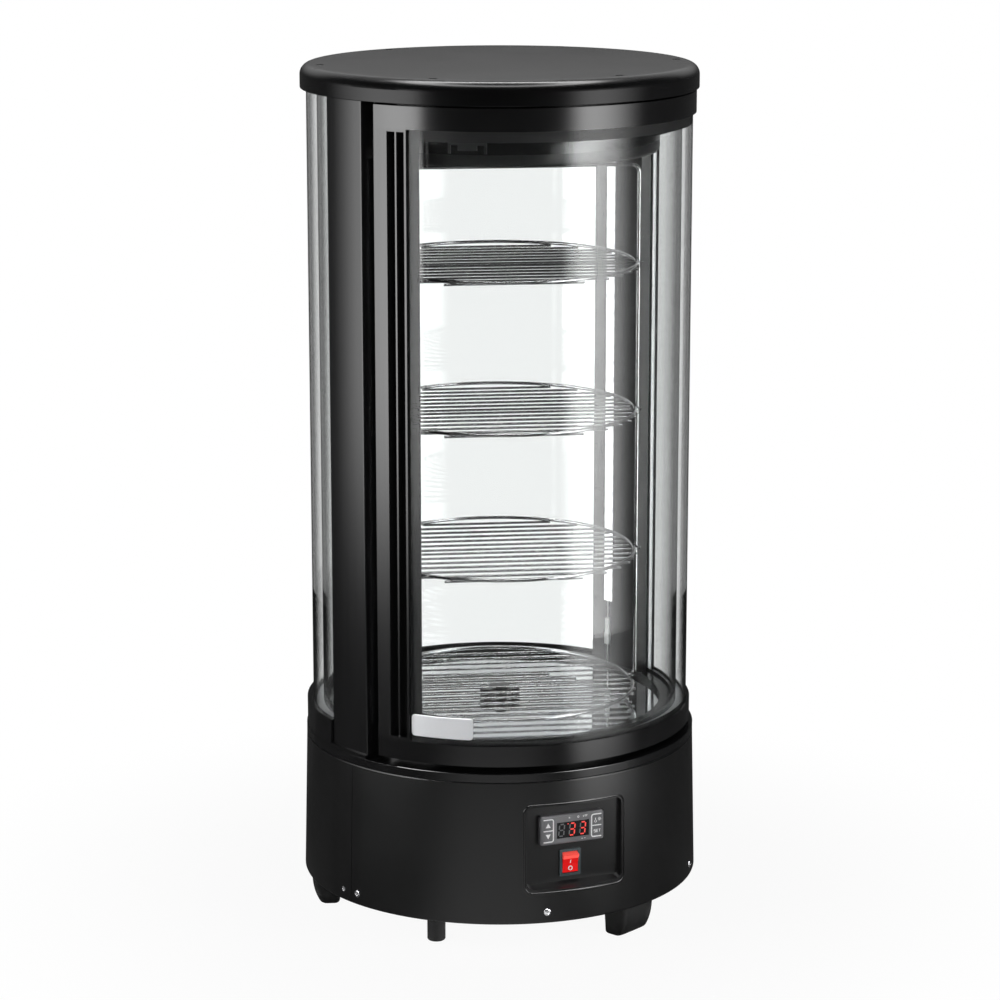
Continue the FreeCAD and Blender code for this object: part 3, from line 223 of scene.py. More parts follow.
paper, sheet = bare_material("studio_floor")
spot = sheet.node("ShaderNodeTexCoord")["Object"]
distance = sheet.node("ShaderNodeVectorMath", {0: spot}, output="Value", operation="LENGTH")
bearing = bearing_of(sheet, spot)
lit = sheet.node("ShaderNodeBsdfDiffuse", {"Color": (0.82, 0.82, 0.82, 1)})
glow = sheet.node("ShaderNodeEmission", {"Color": (1, 1, 1, 1), "Strength": 1.0})
whiteness = straight_view(sheet) * distance.ramp(0.25, 0.8, 0.93, 1.0)
seen_floor = sheet.node("ShaderNodeMixShader", {0: whiteness, 1: lit, 2: glow})
front_glow = abs(bearing + 0.05).ramp(0.15, 0.7, 0.75, 0.07) * abs(bearing).ramp(1.6, 2.2, 1.0, 0.5)
side_glow = right_patch(bearing) * distance.ramp(0.6, 1.2, 0.0, 3.0)
mirror_level = front_glow * distance.ramp(0.7, 1.4, 1.0, 0.3) + side_glow
in_gloss = sheet.node("ShaderNodeEmission", {"Color": (1, 1, 1, 1), "Strength": mirror_level})
glossy = sheet.node("ShaderNodeLightPath")["Glossy Depth"] > 0.5
surface(paper, sheet.node("ShaderNodeMixShader", {0: glossy, 1: seen_floor, 2: in_gloss}))
floor_points = np.stack([floor_radii[:, None] * np.cos(floor_turn), floor_radii[:, None] * np.sin(floor_turn),
                         np.zeros((floor_rings, floor_steps))], -1).reshape(-1, 3)
floor_faces = list(grid_faces(floor_rings, floor_steps)) + [list(range(floor_steps))[::-1]]
studio_floor = new_piece("studio_floor", floor_points, floor_faces, paper)

light, beam = bare_material("studio_light")
spot = beam.node("ShaderNodeTexCoord")["Object"]
height = beam.node("ShaderNodeSeparateXYZ", {0: spot})["Z"]
bearing = bearing_of(beam, spot)
patches = left_patch(bearing) * height.ramp(0.02, 0.4) + right_patch(bearing)
patches = patches * height.ramp(1.0, 1.08, 1.0, 0.0)
behind = abs(bearing).ramp(1.9, 2.4)
path = beam.node("ShaderNodeLightPath")
through_glass = path["Is Transmission Ray"] * (path["Glossy Depth"] > 0.5)
back_level = path.math("MAXIMUM", height.ramp(1.0, 1.6), through_glass * abs(bearing).ramp(2.35, 2.75))
strength = patches * patch_glow + behind * back_level * back_glow + wall_glow
shining = beam.node("ShaderNodeEmission", {"Color": (1, 1, 1, 1), "Strength": strength})
clear = beam.node("ShaderNodeBsdfTransparent", {"Color": (1, 1, 1, 1)})
surface(light, beam.node("ShaderNodeMixShader", {0: straight_view(beam), 1: shining, 2: clear}))
wall_reach, wall_top = 1.5, 2.2
wall_levels = np.array([0.01, wall_top])
wall_points = np.stack(np.broadcast_arrays(wall_reach * np.cos(floor_turn), wall_reach * np.sin(floor_turn),
                                           wall_levels[:, None]), -1).reshape(-1, 3)
light_wall = new_piece("light_wall", wall_points, grid_faces(2, floor_steps), light)
light_wall.visible_camera = False


# ---------------------------------------------------------------- pan, feet and inlet
# The chassis is a folded tray of galvanised steel. Moulded rubber blocks and two round rubber
# pads are bolted under it; the mains inlet is a black plastic socket in the rear skirt.
def new_material(name, **constants):
    """Material with a Principled shader; constants are its sockets' own values."""
    material = bpy.data.materials.new(name)
    material.use_nodes = True
    inputs = material.node_tree.nodes["Principled BSDF"].inputs
    for key, value in constants.items():
        colour = isinstance(value, tuple) and len(value) == 3
        inputs[key.replace("_", " ")].default_value = (*value, 1) if colour else value
    return material, Signal(material.node_tree)


def feed(material, **signals):
    """Link signals to the sockets of the material's Principled shader."""
    inputs = material.node_tree.nodes["Principled BSDF"].inputs
    for key, signal in signals.items():
        material.node_tree.links.new(signal.socket, inputs[key.replace("_", " ")])


def spread(start, scale, detail=3.0, stretch=(1, 1, 1)):
    """Noise from 0 to 1 over Object coordinates; stretch squeezes it along each axis."""
    place = start.node("ShaderNodeTexCoord")["Object"]
    place = start.node("ShaderNodeMapping", {"Vector": place, "Scale": stretch})
    return start.node("ShaderNodeTexNoise", {"Vector": place, "Scale": scale, "Detail": detail})


def bumped(start, height, strength, distance):
    """Normal of a surface whose relief is this height, up to distance metres deep."""
    return start.node("ShaderNodeBump", {"Height": height, "Strength": strength, "Distance": distance})


def dress(material, *names):
    """Give CAD nodes this finish."""
    for name in names:
        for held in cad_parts[name].material_slots:
            held.material = material


def galvanised():
    """Bright zinc: crystal flakes of slightly different greys."""
    material, start = new_material("galvanised_steel", Metallic=0.9)
    place = start.node("ShaderNodeTexCoord")["Object"]
    flake = start.node("ShaderNodeTexVoronoi", {"Vector": place, "Scale": 90.0}, output="Color")
    tone = start.node("ShaderNodeSeparateColor", {0: flake})
    feed(material, Base_Color=tone.blend((0.42, 0.43, 0.44), (0.62, 0.63, 0.64)),
         Roughness=tone * 0.12 + 0.34, Normal=bumped(start, tone, 0.15, 0.0002))
    return material


def rubber():
    """Black moulded rubber, dusty grey where it is rubbed."""
    material, start = new_material("black_rubber")
    dust = spread(start, 55.0, 6.0)
    grain = spread(start, 900.0, 2.0)
    feed(material, Base_Color=dust.ramp(0.45, 0.75).blend((0.008, 0.008, 0.008), (0.022, 0.022, 0.022)),
         Roughness=dust * 0.2 + 0.55, Normal=bumped(start, grain, 0.25, 0.0003))
    return material


def black_plastic(name, roughness, peel, colour=(0.003, 0.003, 0.0032), **constants):
    """Injection-moulded black plastic: even colour, a faint ripple in the gloss, fine dust."""
    material, start = new_material(name, IOR=1.5, **constants)
    ripple = spread(start, 160.0, 2.0)
    haze = spread(start, 14.0, 5.0)
    feed(material, Base_Color=haze.ramp(0.4, 0.8).blend(colour, tuple(1.6 * c for c in colour)),
         Roughness=haze * 0.08 + (roughness - 0.04), Normal=bumped(start, ripple, peel, 0.0002))
    return material


def placed(reach, across, azimuth, height):
    """Points at a distance from the axis and beside the line of an azimuth, which is 0 at the front
    and positive to the right: reach * (sin, -cos) + across * (cos, sin)."""
    x = reach * np.sin(azimuth) + across * np.cos(azimuth)
    y = across * np.sin(azimuth) - reach * np.cos(azimuth)
    return np.stack(np.broadcast_arrays(x, y, height), -1)


def swept(sections, closed=False):
    """Solid through a row of closed outlines with equally many corners; it is capped at both ends
    unless the row closes on itself."""
    rows, corners = sections.shape[:2]
    faces = [list(face) for face in grid_faces(rows, corners, wrap_rows=closed)]
    if not closed:
        faces += [range(corners), range((rows - 1) * corners, rows * corners)]
    return sections.reshape(-1, 3), faces


def new_solid(name, solids, material, body):
    """One piece from several solids, with its faces turned outwards and its sharp edges kept."""
    starts = np.cumsum([0] + [len(points) for points, _ in solids])
    faces = [[start + corner for corner in face]
             for start, (_, part) in zip(starts, solids) for face in part]
    piece = new_piece(name, np.concatenate([points for points, _ in solids]), faces, material)
    finish_mesh(piece.data)
    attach(piece, body)
    return piece


def finish_mesh(mesh):
    """Close poles and seams, turn the faces outwards and mark the edges sharper than 35 degrees."""
    shell = bmesh.new()
    shell.from_mesh(mesh)
    bmesh.ops.remove_doubles(shell, verts=shell.verts, dist=1e-6)
    bmesh.ops.recalc_face_normals(shell, faces=shell.faces)
    shell.to_mesh(mesh)
    shell.free()
    mesh.set_sharp_from_angle(angle=math.radians(35))


def block_foot(azimuth, inner, outer):
    """A foot's sections from the floor to the pan. Each is a rounded rectangle, |x|^6 + |y|^6 = 1;
    its length tapers evenly, and its outer side curves in towards the floor as (1 - z / 0.038)^2.6."""
    tall, levels, corners = 0.045, 16, 48
    half_top, taper, lean = 0.0285, 0.0033, 0.002
    bulge, bulge_top = 0.01, 0.038
    soft_edge, soft_height = 0.0022, 0.003
    height = tall * np.linspace(0, 1, levels)[:, None] ** 1.6
    turn = np.linspace(0, 2 * math.pi, corners, endpoint=False)[None, :]
    along, out = (np.sign(c) * np.abs(c) ** (1 / 3) for c in (np.cos(turn), np.sin(turn)))
    soft = soft_edge * np.clip(1 - height / soft_height, 0, 1) ** 2
    half_length = half_top - taper * (1 - height / tall) - soft
    near = inner + lean * (1 - height / tall) + soft
    far = outer - bulge * np.clip(1 - height / bulge_top, 0, 1) ** 2.6 - soft
    return placed((near + far) / 2 + out * (far - near) / 2, along * half_length,
                  math.radians(azimuth), height)


zinc, foot_rubber = galvanised(), rubber()
inlet_plastic = black_plastic("inlet_plastic", 0.42, 0.2)
dress(zinc, "base_pan")
dress(foot_rubber, "round_feet")
dress(inlet_plastic, "mains_inlet")

# azimuth in degrees, then the reach of the inner and of the outer side at the pan
foot_places = ((9.4, 0.179, 0.2145), (62.0, 0.179, 0.2095), (182.2, 0.185, 0.2195), (234.8, 0.189, 0.2235))
feet = new_solid("moulded_feet", [swept(block_foot(*place)) for place in foot_places],
                 foot_rubber, "cabinet")
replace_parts(feet, "block_feet")


# ---------------------------------------------------------------- machinery
# Compressor pot, condenser and gearmotor stand on the pan inside the skirt: black enamel,
# aluminium fins, and matt moulded fan blades.
def enamel():
    """Black stove enamel with slight orange peel."""
    material, start = new_material("machine_enamel")
    peel = spread(start, 300.0, 2.0)
    feed(material, Base_Color=peel.blend((0.012, 0.012, 0.012), (0.02, 0.02, 0.02)),
         Roughness=peel * 0.15 + 0.3, Normal=bumped(start, peel, 0.3, 0.0002))
    return material


def fin_aluminium():
    """Mill-finish aluminium, streaked along the fins."""
    material, start = new_material("fin_aluminium", Metallic=1.0)
    streak = spread(start, 40.0, 4.0, (1, 1, 12))
    feed(material, Base_Color=streak.blend((0.5, 0.5, 0.51), (0.78, 0.79, 0.8)), Roughness=streak * 0.2 + 0.3)
    return material


machine_black, coil, fan_plastic = enamel(), fin_aluminium(), black_plastic("fan_plastic", 0.6, 0.3)
dress(machine_black, "gearmotor", "compressor", "condenser_fan_motor", "evaporator_fan_motor")
dress(coil, "condenser", "evaporator")
dress(fan_plastic, "condenser_fan_blades", "evaporator_fan_blades")


# ---------------------------------------------------------------- skirt
# Two halves of 2 mm sheet steel, rolled to a slight cone, powder coated black and screwed to
# the pan along the foot.
def powder_coat():
    """Satin black powder coat: fine even texture, slightly uneven gloss."""
    material, start = new_material("black_powder_coat", IOR=1.5)
    texture = spread(start, 700.0, 2.0)
    haze = spread(start, 9.0, 4.0)
    feed(material, Base_Color=haze.blend((0.0025, 0.0025, 0.0026), (0.0045, 0.0045, 0.0047)),
         Roughness=haze * 0.1 + 0.26, Normal=bumped(start, texture, 0.12, 0.0002))
    return material


def screw_steel():
    """Bright zinc-plated screw heads with fine turning marks."""
    material, start = new_material("screw_steel", Metallic=1.0)
    mark = spread(start, 1500.0, 2.0)
    feed(material, Base_Color=mark.blend((0.55, 0.55, 0.56), (0.8, 0.8, 0.82)), Roughness=mark * 0.15 + 0.2)
    return material


def domed_head(azimuth, tall, sink=0.0):
    """A screw's head on the skirt: a flat dome, tall * sqrt(1 - r^2), with a cross sunk in it where
    either coordinate is nearly 0, out to a little over half its radius."""
    wide, skirt_face, level, buried = 0.0042, 0.2306, 0.056, 0.0004
    half_arm, arm_edge, arm_reach, arm_end, depth = 0.0007, 0.0003, 0.0024, 0.0004, 0.7
    r = np.concatenate([np.linspace(0, 1, 15), [1.0, 0.0]])[:, None]
    turn = np.linspace(0, 2 * math.pi, 48, endpoint=False)[None, :]
    across, up = wide * r * np.cos(turn), wide * r * np.sin(turn)
    arm = np.minimum(np.abs(across), np.abs(up))
    sunk = np.clip((half_arm - arm) / arm_edge, 0, 1) * np.clip((arm_reach - r * wide) / arm_end, 0, 1)
    out = tall * (np.sqrt(np.clip(1 - r ** 2, 0, 1)) - depth * sunk)
    out[-2:] = -buried
    return placed(skirt_face - sink + out, across, math.radians(azimuth), level + up)


skirt_paint, bright_screw = powder_coat(), screw_steel()
dress(skirt_paint, "skirt_front", "skirt_rear")

# azimuth in degrees, the dome's height, and the depth by which it is let into the skirt
screw_heads = ((-84.5, 0.0009), (-26.0, 0.0012), (35.5, 0.0012), (95.0, 0.0009), (101.0, 0.0012),
               (150.5, 0.0012), (210.5, 0.0012), (269.5, 0.0009, 0.0006))
skirt_screws = new_solid("skirt_screw_heads", [swept(domed_head(*head)) for head in screw_heads],
                         bright_screw, "cabinet")
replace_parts(skirt_screws, "skirt_screws")


# ---------------------------------------------------------------- control panel
# A moulded tray set into the skirt. It holds a digital thermostat with four rubber keys and
# a snap-in rocker switch.
panel_plastic = black_plastic("panel_plastic", 0.3, 0.15)
thermostat_plastic = black_plastic("thermostat_plastic", 0.42, 0.25, (0.1, 0.1, 0.105))
key_rubber = black_plastic("key_rubber", 0.55, 0.3, (0.09, 0.09, 0.095))
switch_plastic = black_plastic("switch_plastic", 0.35, 0.2, (0.03, 0.045, 0.05))
window_plastic = black_plastic("window_plastic", 0.12, 0.02, (0.012, 0.012, 0.013))
dress(panel_plastic, "control_panel")
dress(thermostat_plastic, "thermostat_case")
dress(key_rubber, "key_up", "key_down", "key_light", "key_set")
dress(window_plastic, "display_window")
dress(switch_plastic, "switch_frame")


def rocker_plastic():
    """Translucent red rocker, lit from inside by its lamp. Its upper half is painted brighter and
    glows more: a painted highlight on the ridge that leans out there.
    """
    material, start = new_material("rocker_red", Emission_Strength=0.35, IOR=1.49)
    height = start.node("ShaderNodeSeparateXYZ", {0: start.node("ShaderNodeTexCoord")["Object"]})["Z"]
    middle = (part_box("switch_rocker")[0].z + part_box("switch_rocker")[1].z) / 2
    # painted highlight: above these heights the rocker is brighter and glows more
    highlight_foot, highlight_full = 0.0042, 0.0056
    upper = height.ramp(middle + highlight_foot, middle + highlight_full)
    colour = upper.blend((0.56, 0.004, 0.004), (0.92, 0.09, 0.07))
    feed(material, Base_Color=colour, Emission_Color=colour, Roughness=upper * 0.1 + 0.2)
    return material


def stroke(path, width, base, thick=0.12):
    """Raised line along points (u, v) in mm on the panel: each corner is mitred, so the line keeps
    its width; a path that ends where it starts is a closed ring. base(v) is the face under it."""
    path = np.asarray(path, float)
    ring = np.allclose(path[0], path[-1])
    path = path[:-1] if ring else path
    step = np.roll(path, -1, 0) - path
    step /= np.linalg.norm(step, axis=1, keepdims=True)
    before = np.roll(step, 1, 0)
    if not ring:
        step[-1], before[0] = step[-2], step[0]
    side = np.stack([-(step + before)[:, 1], (step + before)[:, 0]], 1)
    side *= width / (1 + (step * before).sum(1, keepdims=True)) / 2
    rim = np.stack([path + side, path - side, path - side, path + side], 1)
    return swept(on_panel(rim[..., 0], rim[..., 1], base, np.array([thick, thick, -0.05, -0.05])), ring)


def filled(outline, base, thick=0.12):
    """Raised flat shape inside a closed outline (u, v) in mm on the panel."""
    outline = np.asarray(outline, float)
    return swept(np.stack([on_panel(outline[:, 0], outline[:, 1], base, lift) for lift in (-0.05, thick)]))


def on_panel(u, v, base, lift):
    """Points at u to the right of and v above the thermostat's centre; base(v) + lift in front of
    the cabinet's axis along the panel's own direction; all in mm."""
    return placed((base(v) + lift) / 1000, (u + panel_shift) / 1000, panel_azimuth, (case_level + v) / 1000)


def arc(u, v, radius, start, stop, count=9):
    """Points on an arc round (u, v), with its angles in degrees."""
    turn = np.radians(np.linspace(start, stop, count))
    return np.stack([u + radius * np.cos(turn), v + radius * np.sin(turn)], 1)


def face_at(reach):
    """A face of the panel that is square to its direction."""
    return lambda v: reach + 0 * v


def digit(left, lit, base):
    """Seven strokes of one slanted digit, those of lit or those left dark: height 13.7, width 6.1."""
    wide, tall, gap, slant, line, thick = 6.1, 13.7, 1.0, 0.1, 1.5, 0.05
    half = tall / 2
    ends = {"a": (gap, tall, wide - gap, tall), "b": (wide, half + gap, wide, tall - gap),
            "c": (wide, gap, wide, half - gap), "d": (gap, 0, wide - gap, 0), "e": (0, gap, 0, half - gap),
            "f": (0, half + gap, 0, tall - gap), "g": (gap, half, wide - gap, half)}
    low, edge = window_middle - half, left + line / 2
    paths = [[(edge + x + slant * y, low + y) for x, y in (ends[k][:2], ends[k][2:])] for k in lit]
    return [stroke(path, line, base, thick) for path in paths]


def bracket(side):
    """Printed frame round two keys: a rounded bracket and a line between the keys."""
    far, near, top, turn, line = 35.4, 23.4, 13.1, 2.5, 1.3
    corner = arc(side * (near + turn), top - turn, turn, 90, 90 + side * 90)
    path = np.concatenate([[(side * far, top)], corner, corner[::-1] * (1, -1), [(side * far, -top)]])
    return [stroke(path, line, case_face), stroke([(side * far, 0), (side * near, 0)], line, case_face)]


def recess_lip():
    """Moulded bead round the tray's mouth, half sunk in the skirt: a rounded rectangle laid on the
    skirt's cone, at the reach sqrt(R(z)^2 - u^2), with an oval section carried along it; in mm."""
    corner, half_wide, half_tall, middle, wide, proud = 9.0, 60.9, 51.4, 130.0, 1.1, 0.7
    centres = [(1, 1, 0), (-1, 1, 90), (-1, -1, 180), (1, -1, 270)]
    arcs = [arc(a * (half_wide - corner), b * (half_tall - corner), corner, start, start + 90, 10)
            for a, b, start in centres]
    runs = [np.linspace(this[-1], following[0], 18)[1:-1]
            for this, following in zip(arcs, arcs[1:] + arcs[:1])]
    path = np.concatenate([part for pair in zip(arcs, runs) for part in pair])
    step = np.roll(path, -1, 0) - np.roll(path, 1, 0)
    side = np.stack([step[:, 1], -step[:, 0]], 1) / np.linalg.norm(step, axis=1, keepdims=True)
    turn = np.linspace(0, 2 * math.pi, 12, endpoint=False)
    u, v = (path[:, k, None] + wide * side[:, k, None] * np.cos(turn) for k in (0, 1))
    skirt_top, top_reach, flare, skirt_tall, sunk = 208.0, 227.0, 4.0, 165.0, 0.1
    cone = top_reach + flare * (skirt_top - middle - v) / skirt_tall
    reach = np.sqrt(cone ** 2 - u ** 2) - sunk + proud * np.sin(turn)
    return swept(placed(reach / 1000, u / 1000, panel_azimuth, (middle + v) / 1000), closed=True)


def printing_ink(name, colour):
    """Pale screen-printing ink, a little thin in places."""
    material, start = new_material(name, IOR=1.45)
    thin = spread(start, 900.0, 3.0)
    feed(material, Base_Color=thin.ramp(0.3, 0.6).blend(tuple(0.8 * c for c in colour), colour),
         Roughness=thin * 0.2 + 0.4)
    return material


def diode_glow(name, colour):
    """Lit diode behind a tinted window."""
    material, start = new_material(name, Base_Color=(0.1, 0.01, 0.01), Roughness=0.4, Emission_Strength=1.0)
    feed(material, Emission_Color=spread(start, 600.0).blend(colour, tuple(0.92 * c for c in colour)))
    return material


red_rocker = rocker_plastic()
dress(red_rocker, "switch_rocker")
white_ink = printing_ink("white_ink", (0.72, 0.72, 0.72))
dim_ink = printing_ink("unlit_segment", (0.1, 0.105, 0.11))
panel_azimuth, panel_shift, case_level, window_middle = math.radians(-17.1), -2.8, 149.5, -1.2
case_face, key_face, window_face = face_at(222.0), face_at(222.5), face_at(221.5)
new_solid("recess_lip", [recess_lip()], black_plastic("lip_plastic", 0.14, 0.04), "cabinet")

# signs on the case and the keys: the points (u, v) of each stroke, then its width
frost = [(arc(-3.9, 12.7, 1.1, 60 * k, 60 * k + 180, 2), 0.35) for k in range(3)]
small_signs = [(arc(7.0, 12.7, 1.0, 0, 360, 13), 0.5), ([(13.2, 11.6), (13.2, 13.8)], 0.5),
               ([(14.6, 13.6), (18.2, 13.6)], 0.5), ([(15.4, 11.8), (15.4, 13.0)], 0.5),
               ([(17.2, 11.8), (17.2, 13.0)], 0.5), ([(11.0, -13.4), (12.6, -13.4)], 0.6),
               ([(14.4, -13.4), (16.0, -13.4)], 0.6)]
signs = bracket(-1) + bracket(1) + [stroke(path, width, case_face) for path, width in frost + small_signs]
new_solid("case_signs", signs, white_ink, "cabinet")
for body, middle, point in (("up_key", 6.5, 1), ("down_key", -6.5, -1)):
    corners = [(-33.0, middle - 2.6 * point), (-27.0, middle - 2.6 * point), (-30.0, middle + 2.7 * point)]
    new_solid(f"{body}_sign", [filled(corners, key_face)], white_ink, body)
bulb, sun = (28.0, 4.9), (33.0, 7.2)
lamp_sign = [stroke(arc(*bulb, 1.3, 125, 415, 15), 0.5, key_face),
             stroke([(28.0, 6.2), (28.0, 8.8)], 0.9, key_face),
             stroke(arc(*sun, 1.2, 0, 360, 13), 0.5, key_face),
             filled(arc(*sun, 0.45, 0, 324, 10), key_face)]
lamp_sign += [stroke([inner, outer], 0.35, key_face)
              for inner, outer in zip(arc(*sun, 1.8, 0, 315, 8), arc(*sun, 2.4, 0, 315, 8))]
new_solid("light_key_sign", lamp_sign, white_ink, "light_key")
letter_foot = -8.0
letters = ((26.2, [(2, 3), (0, 3), (0, 1.5), (2, 1.5), (2, 0), (0, 0)]),
           (29.1, [(2, 3), (0, 3), (0, 0), (2, 0)]), (29.11, [(0, 1.5), (1.7, 1.5)]),
           (32.0, [(0, 3), (2.2, 3)]), (32.01, [(1.1, 3), (1.1, 0)]))
word = [stroke(np.add(path, (left, letter_foot)), 0.55, key_face) for left, path in letters]
new_solid("set_key_sign", word, white_ink, "set_key")
unlit = digit(-17.6, "abcdefg", window_face) + digit(-4.7, "ef", window_face) + digit(8.2, "ef", window_face)
new_solid("unlit_segments", unlit, dim_ink, "cabinet")
lit = digit(-4.7, "abgcd", window_face) + digit(8.2, "abgcd", window_face)
lit.append(filled(arc(-5.2, 5.6, 0.7, 0, 324, 10), window_face, 0.05))
new_solid("lit_segments", lit, diode_glow("red_diode", (1.0, 0.062, 0.045)), "cabinet")


def rocker_face(v):
    """The rocker's front: upright on its lower half, leaning out on its upper half."""
    upright_reach, lean, fold = 216.27, 0.356, 0.94
    return upright_reach + lean * np.maximum(v - rocker_middle + fold, 0)


switch_level = 107.5
rocker_middle = switch_level - case_level
rocker_marks = [stroke([(0, rocker_middle - 0.9), (0, rocker_middle + 3.2)], 1.1, rocker_face),
                stroke(arc(0, rocker_middle - 6.9, 2.2, 0, 360, 25), 1.0, rocker_face)]
new_solid("rocker_marks", rocker_marks, white_ink, "rocker")


# ---------------------------------------------------------------- collar and turntable floor
# The collar is a black moulding that carries the glass; a bead runs along its rim and along the
# ledge in front. Inside it lies foam, covered by a polished steel floor with a plastic bearing.
def foam():
    """Pale urethane foam with small open cells."""
    material, start = new_material("urethane_foam", Roughness=0.9)
    place = start.node("ShaderNodeTexCoord")["Object"]
    cell = start.node("ShaderNodeTexVoronoi", {"Vector": place, "Scale": 500.0})
    feed(material, Base_Color=cell.blend((0.55, 0.5, 0.34), (0.78, 0.72, 0.52)),
         Normal=bumped(start, cell, 0.6, 0.0005))
    return material


def mirror_steel():
    """Polished stainless sheet with faint polishing marks."""
    material, start = new_material("mirror_steel", Metallic=1.0)
    mark = spread(start, 12.0, 6.0, (1, 9, 1))
    feed(material, Base_Color=mark.blend((0.6, 0.61, 0.62), (0.74, 0.75, 0.76)), Roughness=mark * 0.06 + 0.02)
    return material


def rim_bead(reach, height, azimuths):
    """Rounded edge of a rim: a small circle of section carried round the axis, in degrees."""
    radius, steps = 0.0006, 144
    turn = np.radians(np.linspace(*azimuths, steps))[:, None]
    section = np.linspace(0, 2 * math.pi, 10, endpoint=False)
    return swept(placed(reach + radius * np.cos(section), 0.0, turn, height + radius * np.sin(section)))


collar_plastic = black_plastic("collar_plastic", 0.2, 0.08)
urethane, polished_floor = foam(), mirror_steel()
bearing_nylon = black_plastic("bearing_nylon", 0.45, 0.2, (0.6, 0.6, 0.58))
dress(collar_plastic, "collar")
dress(urethane, "floor_insulation")
dress(polished_floor, "floor_plate")
dress(bearing_nylon, "floor_bearing")
rim_reach, skirt_rim, ledge_rim = 0.2265, 0.2078, 0.2180
beads = [rim_bead(rim_reach, skirt_rim, (-179.0, 179.0)), rim_bead(rim_reach, ledge_rim, (-70.0, 74.0))]
new_solid("rim_beads", beads, black_plastic("rim_gloss", 0.14, 0.03), "cabinet")


# ---------------------------------------------------------------- posts, covers and lamps
# Two black anodised extrusions carry the lid. Each has a moulded cover on its inner side, and
# on the cover an adhesive strip of white diodes.
def anodised():
    """Black anodised extrusion: fine vertical die lines in a satin gloss."""
    material, start = new_material("black_anodised", IOR=1.5)
    line = spread(start, 420.0, 2.0, (1, 1, 0.01))
    haze = spread(start, 8.0, 4.0)
    feed(material, Base_Color=haze.blend((0.003, 0.003, 0.0032), (0.005, 0.005, 0.0053)),
         Roughness=line * 0.1 + 0.18, Normal=bumped(start, line, 0.06, 0.0002))
    return material


def led_tape():
    """White diode tape: a bright square at every diode on a softly glowing white strip, which is
    unlit at its foot."""
    material, start = new_material("led_tape", Base_Color=(0.9, 0.9, 0.9), Roughness=0.5,
                                   Emission_Strength=1.0)
    height = start.node("ShaderNodeSeparateXYZ", {0: start.node("ShaderNodeTexCoord")["Object"]})["Z"]
    pitch, strip_foot = 0.02, 0.327
    step = abs(height % pitch - pitch / 2) / pitch
    colour = step.ramp(0.28, 0.42).blend((1.0, 1.0, 1.0), (0.55, 0.56, 0.58))
    feed(material, Emission_Color=(height > strip_foot).blend((0.0, 0.0, 0.0), colour))
    return material


extrusion, led = anodised(), led_tape()
cover_plastic = black_plastic("cover_plastic", 0.3, 0.1)
dress(extrusion, "post_left", "post_right")
dress(cover_plastic, "light_cover_left", "light_cover_right")
dress(led, "led_strip_left", "led_strip_right")


# ---------------------------------------------------------------- glass
# Curved float glass in two sheets with a perforated aluminium spacer between them; the fixed
# rear half stands in a black gasket, and the door's half in its rails.
def float_glass():
    """Clear glass with a slight grey-green body. Where it is seen edge on it is mixed towards a dark
    diffuse, painted shade at its rim; lamps shine through it unbent."""
    material, start = new_material("float_glass", Base_Color=(0.985, 0.992, 0.99), Roughness=0.0,
                                   Transmission_Weight=1.0, IOR=1.5, Specular_Tint=(0.3, 0.3, 0.3))
    clear = start.node("ShaderNodeBsdfTransparent", {"Color": (0.97, 0.98, 0.975, 1)})
    path = start.node("ShaderNodeLightPath")
    passing = path.math("MAXIMUM", path["Is Shadow Ray"], path["Is Diffuse Ray"])
    pane = Signal(material.node_tree, material.node_tree.nodes["Principled BSDF"].outputs[0])
    # painted shade: the pane turns towards a dark diffuse where it is seen edge on
    edge = start.node("ShaderNodeLayerWeight", {"Blend": 0.5})["Facing"].ramp(0.74, 0.94, 0.0, 0.7)
    dark = start.node("ShaderNodeBsdfDiffuse", {"Color": (0.01, 0.01, 0.01, 1)})
    pane = start.node("ShaderNodeMixShader", {0: edge, 1: pane, 2: dark})
    surface(material, start.node("ShaderNodeMixShader", {0: passing, 1: pane, 2: clear}))
    return material


def spacer_metal():
    """Mill aluminium box section with one row of small breathing holes along its middle; the holes
    are painted as dark dots, painted shade for their hollow insides.
    """
    material, start = new_material("spacer_aluminium", Metallic=0.55)
    place = start.node("ShaderNodeSeparateXYZ", {0: start.node("ShaderNodeTexCoord")["Object"]})
    azimuth = place.math("ARCTAN2", place["X"], 0 - place["Y"])
    pitch, hole, radius, bar = 0.0048, 0.00065, 0.2115, 0.0075
    side = math.radians(80.2) - bar / 2 / radius
    across = (abs(azimuth) - side) * radius
    along = abs(place["Z"] % pitch - pitch / 2)
    # painted shade: each hole is a dark dot on the bare metal
    upright = (across * across + along * along) < hole ** 2
    feed(material, Base_Color=upright.blend((0.82, 0.83, 0.84), (0.12, 0.12, 0.12)),
         Roughness=spread(start, 200.0) * 0.2 + 0.35)
    return material


glass, spacer = float_glass(), spacer_metal()
gasket_rubber = black_plastic("gasket_rubber", 0.5, 0.3)
dress(glass, "rear_glass_outer", "rear_glass_inner", "door_glass_outer", "door_glass_inner")
dress(spacer, "rear_glass_spacer", "door_spacer")
dress(gasket_rubber, "glazing_gasket", "door_gasket")


def band(reach, thick, azimuths, heights, steps=48):
    """Part of a thin tube about the axis: a rectangle of reach and height carried round in steps;
    azimuths are in degrees and cover less than a full turn."""
    turn = np.radians(np.linspace(*azimuths, steps))[:, None]
    reach = np.array([reach, reach + thick, reach + thick, reach])
    return swept(placed(reach, 0.0, turn, np.array(heights)[[0, 0, 1, 1]]))


